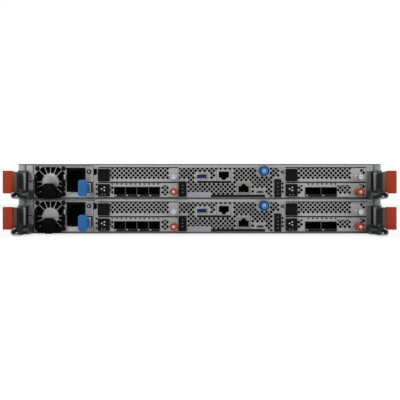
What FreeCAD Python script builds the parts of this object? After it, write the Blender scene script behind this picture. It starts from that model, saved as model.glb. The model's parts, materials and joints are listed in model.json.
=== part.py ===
import FreeCAD, Part
import math
import os

# 2U enclosure for disk drives with two stacked controller canisters.
# Millimetres.  X runs across the enclosure, +Z is up.  The input/output side faces -Y, the drives face +Y.
# The origin is the centre of the underside.

# ---- chassis ----
CHASSIS_W = 448.0
CHASSIS_H = 86.0
SHEET = 1.0              # chassis sheet steel
END_FLANGE_W = 9.2       # inward flange beside the canisters
SHELF_T = 1.0            # shelf between the canisters
SLIDE_GAP = 0.25         # vertical gap under and over what slides
SIDE_GAP = 0.3           # gap at the side of what slides

COVER_LIP_DROP = 7.0

# ---- midplane and drives ----
MIDPLANE_BEHIND = 8.0    # from the canister's end to the midplane
MIDPLANE_T = 3.0
CONNECTOR_D = 6.5        # depth of the midplane connectors
CONNECTOR_W = 24.0
CONNECTOR_H = 8.0
MATE_GAP = 0.3           # gap between mated connectors
AIR_HOLE_W = 34.0
AIR_HOLE_H = 9.0
AIR_HOLE_APART = 3.0     # between an air hole and the drive connector beside it
COLUMNS = 4
ROWS = 3
PARTITION_T = 1.2
LEDGE_W = 3.0
LEDGE_T = 1.0
DISK_H = 26.1
DISK_L = 147.0
CARRIER_RAIL_T = 2.5
CARRIER_RAIL_H = 12.0
CARRIER_BRIDGE_T = 2.0
CARRIER_TAIL = 45.2      # from the disk to the bezel
BEZEL_D = 20.0
BEZEL_CHAMFER = 1.0
BEZEL_SLOTS = 4
BEZEL_SLOT_W = 11.0
BEZEL_SLOT_PITCH = 16.0
BEZEL_SLOT_D = 3.0
BEZEL_RIM = 4.0          # rim above and below the air slots
LEVER_W = 30.0
LEVER_H = 14.0
LEVER_OUT = 2.4          # depth of the lever's well
LEVER_WELL_RIM = 1.5     # open rim round the lever
LEVER_RIM = 3.0          # from the bezel's left edge to the well
VENT_START = 38.0        # from the bezel's left edge to the first air slot

# ---- rack ears, EIA-310 ----
EAR_W = 17.3             # an ear stands out of the chassis by this: 482.6 over both
EAR_T = 2.0
EAR_H = 84.0
EAR_FOOT_L = 40.0
EAR_HOLE_IN = 8.75       # slot centre from the ear's outer edge: 465.1 between slots
EAR_HOLE_RISE = 76.2
EAR_SLOT_R = 3.4
EAR_SLOT_L = 10.3

# ---- canister ----
CAN_SHEET = 0.8
CAN_L = 310.0
LIP_H = 2.6              # folded lip of the cover above the cards
FACE_T = 1.0             # thickness of the port panel and the card brackets
POST_W = 8.3             # folded post between the side wall and the power supply
POST_SPLIT_Z = 20.2
POST_SPLIT_H = 1.4
RIGHT_POST_W = 8.6
STRIP_W = 5.5            # upright strip between the power supply and the left cards
STRIP_SLOT_W = 2.4
STRIP_SLOT_H = 6.4
STRIP_SLOT_Z = 32.8
STRIP_HOLE_Z = (17.1, 11.4, 5.4)

# ---- inside of a canister ----
BOARD_Z = 6.0
BOARD_T = 1.6
BOARD_EDGE = 1.0         # gap between the board and the walls
BOARD_BEHIND = 2.0       # from the cards' slots to the wide part of the board
BOARD_END_GAP = 6.0
STANDOFF_W = 5.0
STANDOFF_EDGE = 8.0
SINK_X = (-30.0, 110.0)
SINK_W = 64.0
SINK_BASE_T = 5.0
SINK_FRONT = 20.0        # from the front of the wide board to a heat sink
SINK_END = 34.0          # from a heat sink to the fans
FIN_COUNT = 5
FIN_T = 1.6
FIN_HEADROOM = 3.0
MODULE_X = (20.0, 62.0)
MODULE_COUNT = 3
MODULE_PITCH = 8.0
MODULE_T = 3.0
MODULE_H = 22.0
MODULE_FRONT = 8.0
MODULE_END = 20.0
PLUG_L = 14.0
FAN_SIZE = 38.0
FAN_COUNT = 5
FAN_D = 28.0
FAN_PITCH = 50.0
FAN_END_GAP = 34.0       # from the fans to the canister's end
FAN_BANK_X = 40.0
FAN_BORE_R = 14.5
FAN_BORE_DEEP = 9.0
FAN_HUB_R = 6.5

# ---- card slots ----
SLOT_LEFT_SHARE = 0.2976   # share of the width right of the power supply
SLOT_RIGHT_SHARE = 0.3003
SLOT_SHELF_Z = 19.4
SLOT_SHELF_T = 0.8
SLOT_L = 150.0
CARD_GAP = 0.25
CARD_TOP_GAP = 0.7       # gap above a bracket
CARD_L = 145.0
CARD_PCB_T = 1.6
CARD_LIFT = 1.2          # the card's board stands this high on its runners
RUNNER_W = 2.0
BLOCK_W = 13.6           # black end block of a card
BLOCK_D = 3.2
BLOCK_H = 14.8
BLOCK_DROP = 0.5         # end block's middle below the bracket's middle
BLOCK_CHAMFER = 0.8
SCOOP_RIM = 3.0          # thumb scoop of the end block, from its sides
SCOOP_H = 2.0
SCOOP_D = 1.2
FIELD_START = 0.5        # from the end block or the thumbscrew to the field of holes
LEFT_SCREW_IN = 4.6      # thumbscrew centre from the bracket's right end
RIGHT_SCREW_IN = 10.25
HIGH_SCREW_DROP = 3.3    # thumbscrew centre below the bracket's middle
LOW_SCREW_DROP = 2.2
KNOB_R = 3.8
KNOB_D = 20.0
KNOB_SIDES = 12
KNOB_SLOT_W = 1.0
KNOB_SLOT_D = 1.0
RING_KNOB_BORE_D = 2.0
RING_KNOB_R = 4.6
RING_KNOB_BORE_R = 2.9
CAGE_COUNT = 4
CAGE_PITCH = 14.1
CAGE_H = 9.4
CAGE_WALL = 0.5
CAGE_L = 48.0
CAGE_POCKET = 44.0
CAGE_START = 6.55        # from the end block to the row of small cages
CAGE_Z = 3.9
CAGE_OUT = 1.2           # cages stand out of the bracket by this
WIDE_CAGE_W = 19.4
WIDE_CAGE_START = 10.15  # from the end block to the row of large cages
WIDE_CAGE_H = 9.8
WIDE_CAGE_L = 60.0
WIDE_CAGE_POCKET = 55.0
WIDE_CAGE_STEP = 19.9
WIDE_CAGE_COUNT = 2

# ---- perforation ----
HOLE_PITCH = 9.0         # along a row, rows are staggered by half of it
HOLE_ACROSS = 5.2        # corner to corner
HOLE_MARGIN = 1.0
BRACKET_FOOT = 2.0       # plain strip along the foot of a perforated bracket
PANEL_LEFT_RIM = 2.0
PANEL_RIGHT_RIM = 6.0
PANEL_FOOT_RIM = 1.0

# ---- ports; a share is counted along the panel from its left end ----
USB_SHARE = 0.2230
USB_Z = 27.0
USB_W = 13.1
USB_H = 5.9
USB_WALL = 0.5
USB_TONGUE_H = 1.95
JACK_W = 17.4
JACK_H = 13.8
JACK_OPEN_W = 12.2
JACK_OPEN_H = 8.4
JACK_D = 18.0
JACK_POCKET = 14.0
JACK_KEY_W = 4.6
JACK_KEY_H = 1.6
JACK_OPEN_SHIFT = 0.8    # the plug's opening is off the shell's middle by this
JACK_HIGH_SHARE = 0.4257
JACK_HIGH_Z = 27.5
JACK_LOW_SHARE = 0.6096
JACK_LOW_Z = 11.4
MICRO_SHARE = 0.7613
MICRO_Z = 7.7
MICRO_W = 8.6
MICRO_H = 2.8
MICRO_D = 5.0
MICRO_WALL = 0.5
MICRO_POCKET = 4.0
MICRO_CHAMFER = 0.9
PORT_OUT = 0.8           # ports stand out of the panel by this
PORT_GAP = 0.2           # gap between a port and its hole
LIGHT_LEFT_SHARE = 0.0428
LIGHT_LEFT_W = 9.8
LIGHT_LEFT_Z = 10.75
LIGHT_LEFT_H = 17.3
LIGHT_RIGHT_SHARE = 0.9257
LIGHT_RIGHT_W = 8.6
LIGHT_RIGHT_Z = 12.0
LIGHT_RIGHT_H = 21.0
LIGHT_D = 2.4
LIGHT_CHAMFER = 0.8
LABEL_SHARE = 0.1824     # bare places on the panel, without holes
LABEL_W = 26.2
LABEL_Z = 4.4
LABEL_H = 6.4
PRINT_SHARE = 0.2590
PRINT_W = 22.6
PRINT_Z = 20.0
PRINT_H = 2.8
FOOT_SHARE = 0.5616
FOOT_W = 66.0
FOOT_Z = 2.9
FOOT_H = 3.4

# ---- blue thumbscrew ----
BLUE_SHARE = 0.7965
BLUE_Z = 33.4
BLUE_R = 6.4
BLUE_D = 10.0
BLUE_SIDES = 16
BLUE_BORE_R = 2.1
BLUE_BORE_D = 2.5
BLUE_SHAFT_R = 2.0
BLUE_SHAFT_L = 9.0
TURN_FIT = 0.06          # radial clearance of what turns in a hole

# ---- power supply ----
PSU_W = 73.8
PSU_H = 38.6
PSU_L = 186.0
PSU_LEFT_GAP = 0.9       # between the left post and the case
PSU_RIGHT_GAP = 0.6      # between the case and the bay wall
FAN_IN = 20.7            # fan centre from the case's left side
FAN_Z = 20.35
PSU_FAN_DEEP = 26.0
DUCT_SIDE = 36.4         # the duct is a square with cut corners
DUCT_CUT = 8.0
GUARD_HUB_R = 10.6
GUARD_STEPS = 16         # spokes stand on this many even steps
GUARD_LEFT_OUT = (1, 7)  # steps that carry no spoke
GUARD_SPOKE_W = 0.9
GUARD_T = 1.2
ROTOR_GAP = 1.0
ROTOR_R = 16.6           # to the middle of a blade's tip
VANE_W = 7.6
ROTOR_HUB_R = 8.6
ROTOR_D = 12.0
ROTOR_BLADES = 7
ROTOR_BORE_R = 1.5       # the shaft in the rotor
ROTOR_VANE_T = 1.2
ROTOR_VANE_SINK = 1.0    # blades start this deep in the hub
BLADE_TILT = 35.0
INLET_IN = 52.2          # inlet centre from the case's left side
INLET_GAP = 0.2
INLET_Z = 22.5
INLET_W = 23.0
INLET_H = 29.6
INLET_D = 22.0
INLET_OUT = 1.6
INLET_OPEN_W = 15.6
INLET_OPEN_H = 22.6
INLET_OPEN_D = 16.0
INLET_CHAMFER = 4.5
INLET_CORNER = 3.0       # cut corners of the recess
PIN_W = 2.0
PIN_H = 4.0
PIN_L = 14.0
PIN_SPREAD = 7.0
PIN_ROW = 2.0

# ---- black bail of the power supply ----
BAIL_IN = 2.3            # bail's left arm from the case's left side
BAIL_W = 36.0
BAIL_ARM_W = 2.6
BAIL_HEAD = 1.6          # wall round the pin
BAIL_SLOPE = 5.0         # run of the bar's sloping ends
BAIL_BAR_LAP = 1.0
BAIL_PAD_CHAMFER = 4.5
BAIL_PAD_DROP = 1.0      # the pad reaches below the bar by this
BAIL_ARM_D = 5.0
BAIL_PIVOT_Z = 26.0
BAIL_PIVOT_Y = 5.0       # in front of the power supply's face
BAIL_BOTTOM_Z = -0.2
BAIL_BAR_H = 6.0
BAIL_PAD_W = 17.6
BAIL_PAD_H = 19.4
BAIL_PAD_D = 9.0
BAIL_PIN_R = 1.5
LUG_W = 1.8
LUG_RIM = 1.0
LUG_H = 6.0

# ---- blue release tab of the power supply ----
TAB_IN = 57.9            # tab's left side from the case's left side
TAB_W = 10.8
TAB_CHAMFER = 2.0
TAB_Z0 = 2.2
TAB_H = 20.0
TAB_OUT = 20.0
TAB_PAD_D = 4.0
TAB_STEM_H = 11.0
TAB_STEM_W = 1.8
TAB_STEM_IN = 9.0        # from the pad's left side to the stem
TAB_TRAVEL = 2.5
TAB_SINK = 6.0

# ---- latch bracket, orange tab and pull handle, given from the canister's side wall ----
BRACKET_T = 1.4
BRACKET_OUT = 7.1        # beyond the side wall
BRACKET_IN = 8.6         # inside the side wall
BRACKET_TOP_Z = 33.2
BRACKET_FACE_GAP = 0.3
BRACKET_STEP = 1.4       # from the bracket's wide foot to the lower ear
EAR_LIP = 0.6            # of an ear beyond the hinge's barrel
FLOOR_GAP = 0.2          # a lug stands lower than the handle by this
HINGE_IN = 0.1
HINGE_OUT = 12.0         # vertical hinge, in front of the face
HINGE_BARREL_R = 2.5
HINGE_PIN_R = 1.3
HINGE_EAR_Z = 8.2
TAB_SIDE_BEYOND = 6.4    # side plate beyond the side wall
TAB_SIDE_T = 1.3
TAB_SIDE_OUT = 46.0
GRIP_BEYOND = 15.9
GRIP_W = 11.1
GRIP_D = 8.0
GRIP_OUT = 50.0
GRIP_Z0 = 6.9
GRIP_Z1 = 31.3
GRIP_ROUND = 1.5
WINDOW_W = 1.8
WINDOW_RIM = 3.0
HANDLE_BEYOND = 4.5
HANDLE_W = 10.8
HANDLE_PIVOT_OUT = 23.0
HANDLE_PIVOT_Z = 3.0
HANDLE_BARREL_R = 3.2
HANDLE_PIN_R = 1.5
HANDLE_REACH = 36.0      # from the pivot to the end
HANDLE_T = 1.5
CURL_R = 4.0
CURL_WALL = 1.3
CURL_SIDES = 12
CURL_MOUTH = 3           # sides left out of the curl
CURL_START = 1.5         # from the barrel to the curl

# ---- connectors between canister and midplane ----
CAN_PLUG_X = (-60.0, 0.0, 60.0, 160.0)
CAN_PLUG_W = 30.0
CAN_PLUG_H = 9.0

# ---- worked out ----
CHASSIS_L = (CAN_L + MIDPLANE_BEHIND + MIDPLANE_T + CONNECTOR_D + MATE_GAP + DISK_L + CARRIER_TAIL + BEZEL_D)
FACE_Y = -CHASSIS_L / 2
FRONT_Y = CHASSIS_L / 2
CAN_PLUG_Z = BOARD_Z + BOARD_T
EAR_SPAN = CHASSIS_W + 2 * EAR_W
EAR_HOLE_SPAN = EAR_SPAN - 2 * EAR_HOLE_IN
IN_H = CHASSIS_H - 2 * SHEET
CAN_H = (IN_H - SHELF_T - 4 * SLIDE_GAP) / 2
CAN_BASE = {
    "lower": SHEET + SLIDE_GAP,
    "upper": SHEET + 3 * SLIDE_GAP + SHELF_T + CAN_H,
}
GUIDE_X = CHASSIS_W / 2 - END_FLANGE_W
CAN_X = GUIDE_X - SIDE_GAP
CAN_END_Y = FACE_Y + CAN_L
MIDPLANE_Y = CAN_END_Y + MIDPLANE_BEHIND
FAN_BANK_Y = CAN_END_Y - FAN_END_GAP - FAN_D
CAN_IN_TOP = CAN_H - CAN_SHEET
SLOT_TOP_Z = CAN_H - LIP_H
PSU_Z0 = CAN_SHEET + SLIDE_GAP
PSU_TOP_Z = PSU_Z0 + PSU_H
PSU_X0 = -CAN_X + POST_W + PSU_LEFT_GAP
PSU_X1 = PSU_X0 + PSU_W
PSU_WALL_X = PSU_X1 + PSU_RIGHT_GAP
SLOT_LEFT_X0 = PSU_WALL_X + STRIP_W
SLOT_RIGHT_X1 = CAN_X - RIGHT_POST_W
CARDS_W = SLOT_RIGHT_X1 - SLOT_LEFT_X0
SLOT_LEFT_X1 = SLOT_LEFT_X0 + CARDS_W * SLOT_LEFT_SHARE
SLOT_RIGHT_X0 = SLOT_RIGHT_X1 - CARDS_W * SLOT_RIGHT_SHARE
PANEL_W = SLOT_RIGHT_X0 - SLOT_LEFT_X1
USB_X = SLOT_LEFT_X1 + PANEL_W * USB_SHARE
JACK_HIGH_X = SLOT_LEFT_X1 + PANEL_W * JACK_HIGH_SHARE
JACK_LOW_X = SLOT_LEFT_X1 + PANEL_W * JACK_LOW_SHARE
MICRO_X = SLOT_LEFT_X1 + PANEL_W * MICRO_SHARE
LIGHT_LEFT_X = SLOT_LEFT_X1 + PANEL_W * LIGHT_LEFT_SHARE
LIGHT_RIGHT_X = SLOT_LEFT_X1 + PANEL_W * LIGHT_RIGHT_SHARE
LABEL_X = SLOT_LEFT_X1 + PANEL_W * LABEL_SHARE
PRINT_X = SLOT_LEFT_X1 + PANEL_W * PRINT_SHARE
FOOT_X = SLOT_LEFT_X1 + PANEL_W * FOOT_SHARE
BLUE_X = SLOT_LEFT_X1 + PANEL_W * BLUE_SHARE
FAN_X = PSU_X0 + FAN_IN
INLET_X = PSU_X0 + INLET_IN
BAIL_X0 = PSU_X0 + BAIL_IN
BAIL_X1 = BAIL_X0 + BAIL_W
TAB_X0 = PSU_X0 + TAB_IN
BRACKET_X0 = -CAN_X - BRACKET_OUT
BRACKET_X1 = -CAN_X + BRACKET_IN
HINGE_X = -CAN_X + HINGE_IN
TAB_SIDE_X = -CAN_X - TAB_SIDE_BEYOND
GRIP_X0 = -CAN_X - GRIP_BEYOND
GRIP_X1 = GRIP_X0 + GRIP_W
HANDLE_X0 = -CAN_X - HANDLE_BEYOND
HANDLE_X1 = HANDLE_X0 + HANDLE_W


def box(x0, x1, y0, y1, z0, z1):
    """A block between two corners."""
    return Part.makeBox(x1 - x0, y1 - y0, z1 - z0, FreeCAD.Vector(x0, y0, z0))


def rod(x, y, z, radius, length, direction):
    """A round bar that starts at a point."""
    return Part.makeCylinder(radius, length, FreeCAD.Vector(x, y, z), FreeCAD.Vector(*direction))


def loop_xz(points, y):
    """A closed wire in a plane across Y."""
    corners = [FreeCAD.Vector(px, y, pz) for px, pz in points]
    return Part.makePolygon(corners + corners[:1])


def plate_xz(outline, holes, y0, y1):
    """A plate across Y with any number of holes."""
    wires = [loop_xz(outline, y0)] + [loop_xz(hole, y0) for hole in holes]
    face = Part.makeFace(wires, "Part::FaceMakerBullseye")
    return face.extrude(FreeCAD.Vector(0, y1 - y0, 0))


def plate_xy(outline, z0, z1):
    """A plate across Z."""
    corners = [FreeCAD.Vector(px, py, z0) for px, py in outline]
    face = Part.Face(Part.makePolygon(corners + corners[:1]))
    return face.extrude(FreeCAD.Vector(0, 0, z1 - z0))


def rectangle(x0, x1, z0, z1):
    return [(x0, z0), (x1, z0), (x1, z1), (x0, z1)]


def polygon(x, z, radius, sides):
    """Corners of an upright regular polygon."""
    turn = math.pi / sides
    steps = [turn + 2 * math.pi * k / sides for k in range(sides)]
    return [(x + radius * math.cos(a), z + radius * math.sin(a)) for a in steps]


def chamfered(x0, x1, z0, z1, cut):
    """A rectangle with its four corners cut off."""
    return [
        (x0 + cut, z0), (x1 - cut, z0), (x1, z0 + cut), (x1, z1 - cut),
        (x1 - cut, z1), (x0 + cut, z1), (x0, z1 - cut), (x0, z0 + cut),
    ]


def fuse(shapes):
    joined = shapes[0].multiFuse(shapes[1:]) if len(shapes) > 1 else shapes[0]
    return joined.removeSplitter()


def mirrored(shape):
    """The same piece on the other side of the enclosure."""
    return shape.mirror(FreeCAD.Vector(0, 0, 0), FreeCAD.Vector(1, 0, 0))


def raised(shape, height):
    copy = shape.copy()
    copy.translate(FreeCAD.Vector(0, 0, height))
    return copy


def grown(x, z, width, height, gap):
    """A rectangle about a centre, larger by a gap all round: low X, high X, low Z, high Z."""
    return (x - width / 2 - gap, x + width / 2 + gap, z - height / 2 - gap, z + height / 2 + gap)


def diamond(x, z, half):
    """A square that stands on its corner."""
    return [(x - half, z), (x, z - half), (x + half, z), (x, z + half)]


def diamond_holes(x0, x1, z0, z1, keep_clear):
    """Staggered diamonds inside a rectangle, away from the boxes to keep clear."""
    half = HOLE_ACROSS / 2
    columns = int((x1 - x0) / (HOLE_PITCH / 2))
    rows = int((z1 - z0 - HOLE_ACROSS) / (HOLE_PITCH / 2)) + 1
    first_z = (z0 + z1) / 2 - (rows - 1) * HOLE_PITCH / 4
    holes = []
    for row in range(rows):
        for column in range(row % 2, columns, 2):
            x = x0 + (column + 1) * HOLE_PITCH / 2
            z = first_z + row * HOLE_PITCH / 2
            inside = x0 + half < x < x1 - half
            reach = half + HOLE_MARGIN
            free = all(
                x + reach < bx0 or x - reach > bx1 or z + reach < bz0 or z - reach > bz1
                for bx0, bx1, bz0, bz1 in keep_clear
            )
            if inside and free:
                holes.append(diamond(x, z, half))
    return holes


# ======================= chassis =======================

def chassis_shell():
    """Floor, side walls, and at the input/output end the flanges with the canister guides behind them."""
    half = CHASSIS_W / 2
    wall_top = CHASSIS_H - SHEET
    floor = box(-half, half, FACE_Y, FRONT_Y, 0, SHEET)
    wall = box(-half, -half + SHEET, FACE_Y, FRONT_Y, 0, wall_top)
    flange = box(-half, -GUIDE_X, FACE_Y, FACE_Y + SHEET, 0, wall_top)
    guide = box(-GUIDE_X - SHEET, -GUIDE_X, FACE_Y, MIDPLANE_Y, 0, wall_top)
    left = [wall, flange, guide]
    return fuse([floor] + left + [mirrored(shape) for shape in left])


def chassis_cover():
    """Top plate with a lip folded down inside each side wall."""
    half = CHASSIS_W / 2
    cage_y = MIDPLANE_Y + MIDPLANE_T + CONNECTOR_D
    plate = box(-half, half, FACE_Y, FRONT_Y, CHASSIS_H - SHEET, CHASSIS_H)
    lip = box(-half + SHEET, -half + 2 * SHEET, MIDPLANE_Y + MIDPLANE_T, cage_y,
              CHASSIS_H - COVER_LIP_DROP, CHASSIS_H - SHEET)
    return fuse([plate, lip, mirrored(lip)])


def canister_shelf():
    """Plate between the guides that carries the upper canister."""
    z0 = SHEET + 2 * SLIDE_GAP + CAN_H
    return box(-GUIDE_X, GUIDE_X, FACE_Y + SHEET, MIDPLANE_Y, z0, z0 + SHELF_T)


COLUMN_PITCH = (CHASSIS_W - 2 * SHEET - PARTITION_T) / COLUMNS
ROW_PITCH = IN_H / ROWS
CAGE_Y0 = MIDPLANE_Y + MIDPLANE_T + CONNECTOR_D


def column_x(column):
    """Middle of a drive column."""
    return (column - (COLUMNS - 1) / 2) * COLUMN_PITCH


def row_z(row):
    """Height at which a drive lies, counted from the lowest row."""
    return SHEET + row * ROW_PITCH + LEDGE_T


def drive_cage():
    """Upright partitions with a pair of ledges for each drive."""
    shapes = []
    for wall in range(COLUMNS + 1):
        x = (wall - COLUMNS / 2) * COLUMN_PITCH
        shapes.append(box(x - PARTITION_T / 2, x + PARTITION_T / 2, CAGE_Y0, FRONT_Y - BEZEL_D,
                          SHEET, CHASSIS_H - SHEET))
        left_end = x - PARTITION_T / 2 - (LEDGE_W if wall > 0 else 0)
        right_end = x + PARTITION_T / 2 + (LEDGE_W if wall < COLUMNS else 0)
        for row in range(ROWS):
            z = row_z(row)
            shapes.append(box(left_end, right_end, CAGE_Y0, FRONT_Y - BEZEL_D, z - LEDGE_T, z))
    return fuse(shapes)


def midplane():
    """Board across the chassis with connectors on both sides and air holes between them."""
    board = box(-GUIDE_X - SHEET, GUIDE_X + SHEET, MIDPLANE_Y, MIDPLANE_Y + MIDPLANE_T,
                SHEET, CHASSIS_H - SHEET)
    holes = []
    plugs = []
    for column in range(COLUMNS):
        for row in range(ROWS):
            x = column_x(column)
            z = row_z(row) + DISK_H / 2
            holes.append(box(x - AIR_HOLE_W / 2, x + AIR_HOLE_W / 2, MIDPLANE_Y - 1,
                             MIDPLANE_Y + MIDPLANE_T + 1, z - AIR_HOLE_H / 2, z + AIR_HOLE_H / 2))
            plug_x0 = x + AIR_HOLE_W / 2 + AIR_HOLE_APART
            plugs.append(box(plug_x0, plug_x0 + CONNECTOR_W, MIDPLANE_Y + MIDPLANE_T,
                             MIDPLANE_Y + MIDPLANE_T + CONNECTOR_D, z - CONNECTOR_H / 2, z + CONNECTOR_H / 2))
    for base in CAN_BASE.values():
        for x in CAN_PLUG_X:
            plugs.append(box(x - CAN_PLUG_W / 2, x + CAN_PLUG_W / 2, MIDPLANE_Y - CONNECTOR_D, MIDPLANE_Y,
                             base + CAN_PLUG_Z, base + CAN_PLUG_Z + CAN_PLUG_H))
    return fuse([board] + plugs).cut(Part.makeCompound(holes)).removeSplitter()


def rack_ears():
    """Two folded ears with slotted holes."""
    half = CHASSIS_W / 2
    z0 = (CHASSIS_H - EAR_H) / 2
    plate = box(-EAR_SPAN / 2, -half, FRONT_Y - EAR_T, FRONT_Y, z0, z0 + EAR_H)
    foot = box(-half - EAR_T, -half, FRONT_Y - EAR_FOOT_L, FRONT_Y, z0, z0 + EAR_H)
    ear = fuse([plate, foot])
    straight = EAR_SLOT_L / 2 - EAR_SLOT_R
    for side in (-1, 1):
        z = CHASSIS_H / 2 + side * EAR_HOLE_RISE / 2
        x = -EAR_HOLE_SPAN / 2
        for shift in (-straight, straight):
            ear = ear.cut(rod(x + shift, FRONT_Y - EAR_T - 1, z, EAR_SLOT_R, EAR_T + 2, (0, 1, 0)))
        ear = ear.cut(box(x - straight, x + straight, FRONT_Y - EAR_T - 1, FRONT_Y + 1,
                          z - EAR_SLOT_R, z + EAR_SLOT_R))
    return Part.makeCompound([ear, mirrored(ear)])


def drive(column, row):
    """One drive in its carrier: side rails, drive body and a bezel with air slots and a lever in its well."""
    x = column_x(column)
    z = row_z(row) + SLIDE_GAP
    inner = COLUMN_PITCH - PARTITION_T - 2 * SIDE_GAP
    x0 = x - inner / 2
    x1 = x + inner / 2
    back_y = CAGE_Y0 + MATE_GAP
    bezel_y = FRONT_Y - BEZEL_D + MATE_GAP
    left_rail = box(x0, x0 + CARRIER_RAIL_T, back_y, bezel_y, z, z + CARRIER_RAIL_H)
    right_rail = box(x1 - CARRIER_RAIL_T, x1, back_y, bezel_y, z, z + CARRIER_RAIL_H)
    disk = box(x0 + CARRIER_RAIL_T, x1 - CARRIER_RAIL_T, back_y, back_y + DISK_L, z, z + DISK_H)
    bridge = box(x0 + CARRIER_RAIL_T, x1 - CARRIER_RAIL_T, back_y + DISK_L, bezel_y, z, z + CARRIER_BRIDGE_T)
    bezel = plate_xz(chamfered(x0, x1, z, z + DISK_H, BEZEL_CHAMFER), [], bezel_y, FRONT_Y)
    slots = []
    for slot in range(BEZEL_SLOTS):
        sx = x0 + VENT_START + slot * BEZEL_SLOT_PITCH
        slots.append(box(sx, sx + BEZEL_SLOT_W, FRONT_Y - BEZEL_SLOT_D, FRONT_Y + 1,
                         z + BEZEL_RIM, z + DISK_H - BEZEL_RIM))
    well_x0 = x0 + LEVER_RIM
    well_z0 = z + (DISK_H - LEVER_H) / 2
    well = box(well_x0, well_x0 + LEVER_W, FRONT_Y - LEVER_OUT, FRONT_Y + 1, well_z0, well_z0 + LEVER_H)
    lever = box(well_x0 + LEVER_WELL_RIM, well_x0 + LEVER_W - LEVER_WELL_RIM, FRONT_Y - LEVER_OUT, FRONT_Y,
                well_z0 + LEVER_WELL_RIM, well_z0 + LEVER_H - LEVER_WELL_RIM)
    bezel = bezel.cut(Part.makeCompound(slots + [well]))
    return fuse([left_rail, right_rail, disk, bridge, bezel, lever])


# ======================= canister =======================
# Every function below gives a piece of the lower canister at height zero; it is raised to its place later.

def canister_tray():
    """Floor, side walls, bay wall, slot walls with their shelves and the folded end posts."""
    top = CAN_IN_TOP
    y1 = FACE_Y + FACE_T
    floor = box(-CAN_X, CAN_X, FACE_Y, CAN_END_Y, 0, CAN_SHEET)
    shapes = [floor]
    for x0 in (-CAN_X, CAN_X - CAN_SHEET):
        shapes.append(box(x0, x0 + CAN_SHEET, FACE_Y, CAN_END_Y, 0, top))
    left_post_x1 = -CAN_X + POST_W
    shapes.append(box(-CAN_X, left_post_x1, FACE_Y, y1, CAN_SHEET, POST_SPLIT_Z))
    shapes.append(box(-CAN_X, left_post_x1, FACE_Y, y1, POST_SPLIT_Z + POST_SPLIT_H, top))
    shapes.append(box(left_post_x1 - CAN_SHEET, left_post_x1, FACE_Y, FACE_Y + PSU_L, CAN_SHEET, top))
    shapes.append(box(SLOT_RIGHT_X1, CAN_X, FACE_Y, y1, CAN_SHEET, SLOT_TOP_Z))
    strip_x = (PSU_WALL_X + SLOT_LEFT_X0) / 2
    openings = [rectangle(*grown(strip_x, STRIP_SLOT_Z, STRIP_SLOT_W, STRIP_SLOT_H, 0))]
    for z in STRIP_HOLE_Z:
        openings.append(diamond(strip_x, z, STRIP_SLOT_W / 2))
    strip = rectangle(PSU_WALL_X, SLOT_LEFT_X0, CAN_SHEET, SLOT_TOP_Z)
    shapes.append(plate_xz(strip, openings, FACE_Y, y1))
    shapes.append(box(PSU_WALL_X, PSU_WALL_X + CAN_SHEET, FACE_Y, FACE_Y + PSU_L, CAN_SHEET, top))
    for x0, x1 in ((SLOT_LEFT_X0, SLOT_LEFT_X1), (SLOT_RIGHT_X0, SLOT_RIGHT_X1)):
        shapes.append(box(x0 - CAN_SHEET, x0, FACE_Y + FACE_T, FACE_Y + SLOT_L, CAN_SHEET, SLOT_TOP_Z))
        shapes.append(box(x1, x1 + CAN_SHEET, FACE_Y + FACE_T, FACE_Y + SLOT_L, CAN_SHEET, SLOT_TOP_Z))
        shapes.append(box(x0, x1, FACE_Y + FACE_T, FACE_Y + SLOT_L,
                          SLOT_SHELF_Z, SLOT_SHELF_Z + SLOT_SHELF_T))
    return fuse(shapes)


def canister_cover():
    """Top plate with the folded lip over the cards."""
    plate = box(-CAN_X, CAN_X, FACE_Y, CAN_END_Y, CAN_IN_TOP, CAN_H)
    lip = box(PSU_WALL_X + CAN_SHEET, CAN_X - CAN_SHEET, FACE_Y, FACE_Y + FACE_T, SLOT_TOP_Z, CAN_IN_TOP)
    return fuse([plate, lip])


PORT_CUTOUTS = {
    "usb": grown(USB_X, USB_Z, USB_W, USB_H, PORT_GAP),
    "jack_high": grown(JACK_HIGH_X, JACK_HIGH_Z, JACK_W, JACK_H, PORT_GAP),
    "jack_low": grown(JACK_LOW_X, JACK_LOW_Z, JACK_W, JACK_H, PORT_GAP),
    "micro": grown(MICRO_X, MICRO_Z, MICRO_W, MICRO_H, PORT_GAP),
}
LIGHT_BOXES = [
    grown(LIGHT_LEFT_X, LIGHT_LEFT_Z, LIGHT_LEFT_W, LIGHT_LEFT_H, 0),
    grown(LIGHT_RIGHT_X, LIGHT_RIGHT_Z, LIGHT_RIGHT_W, LIGHT_RIGHT_H, 0),
]
BARE_BOXES = [
    grown(LABEL_X, LABEL_Z, LABEL_W, LABEL_H, 0),
    grown(PRINT_X, PRINT_Z, PRINT_W, PRINT_H, 0),
    grown(FOOT_X, FOOT_Z, FOOT_W, FOOT_H, 0),
    grown(BLUE_X, BLUE_Z, 2 * BLUE_R, 2 * BLUE_R, 0),
]


def port_panel():
    """Perforated panel with the holes for the ports and the blue thumbscrew."""
    x0 = SLOT_LEFT_X1
    x1 = SLOT_RIGHT_X0
    z0 = CAN_SHEET
    z1 = SLOT_TOP_Z
    keep_clear = list(PORT_CUTOUTS.values()) + LIGHT_BOXES + BARE_BOXES
    holes = diamond_holes(x0 + PANEL_LEFT_RIM, x1 - PANEL_RIGHT_RIM, z0 + PANEL_FOOT_RIM, z1, keep_clear)
    holes += [rectangle(*cutout) for cutout in PORT_CUTOUTS.values()]
    panel = plate_xz(rectangle(x0, x1, z0, z1), holes, FACE_Y, FACE_Y + FACE_T)
    return panel.cut(rod(BLUE_X, FACE_Y - 1, BLUE_Z, BLUE_SHAFT_R + TURN_FIT, FACE_T + 2, (0, 1, 0)))


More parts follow.
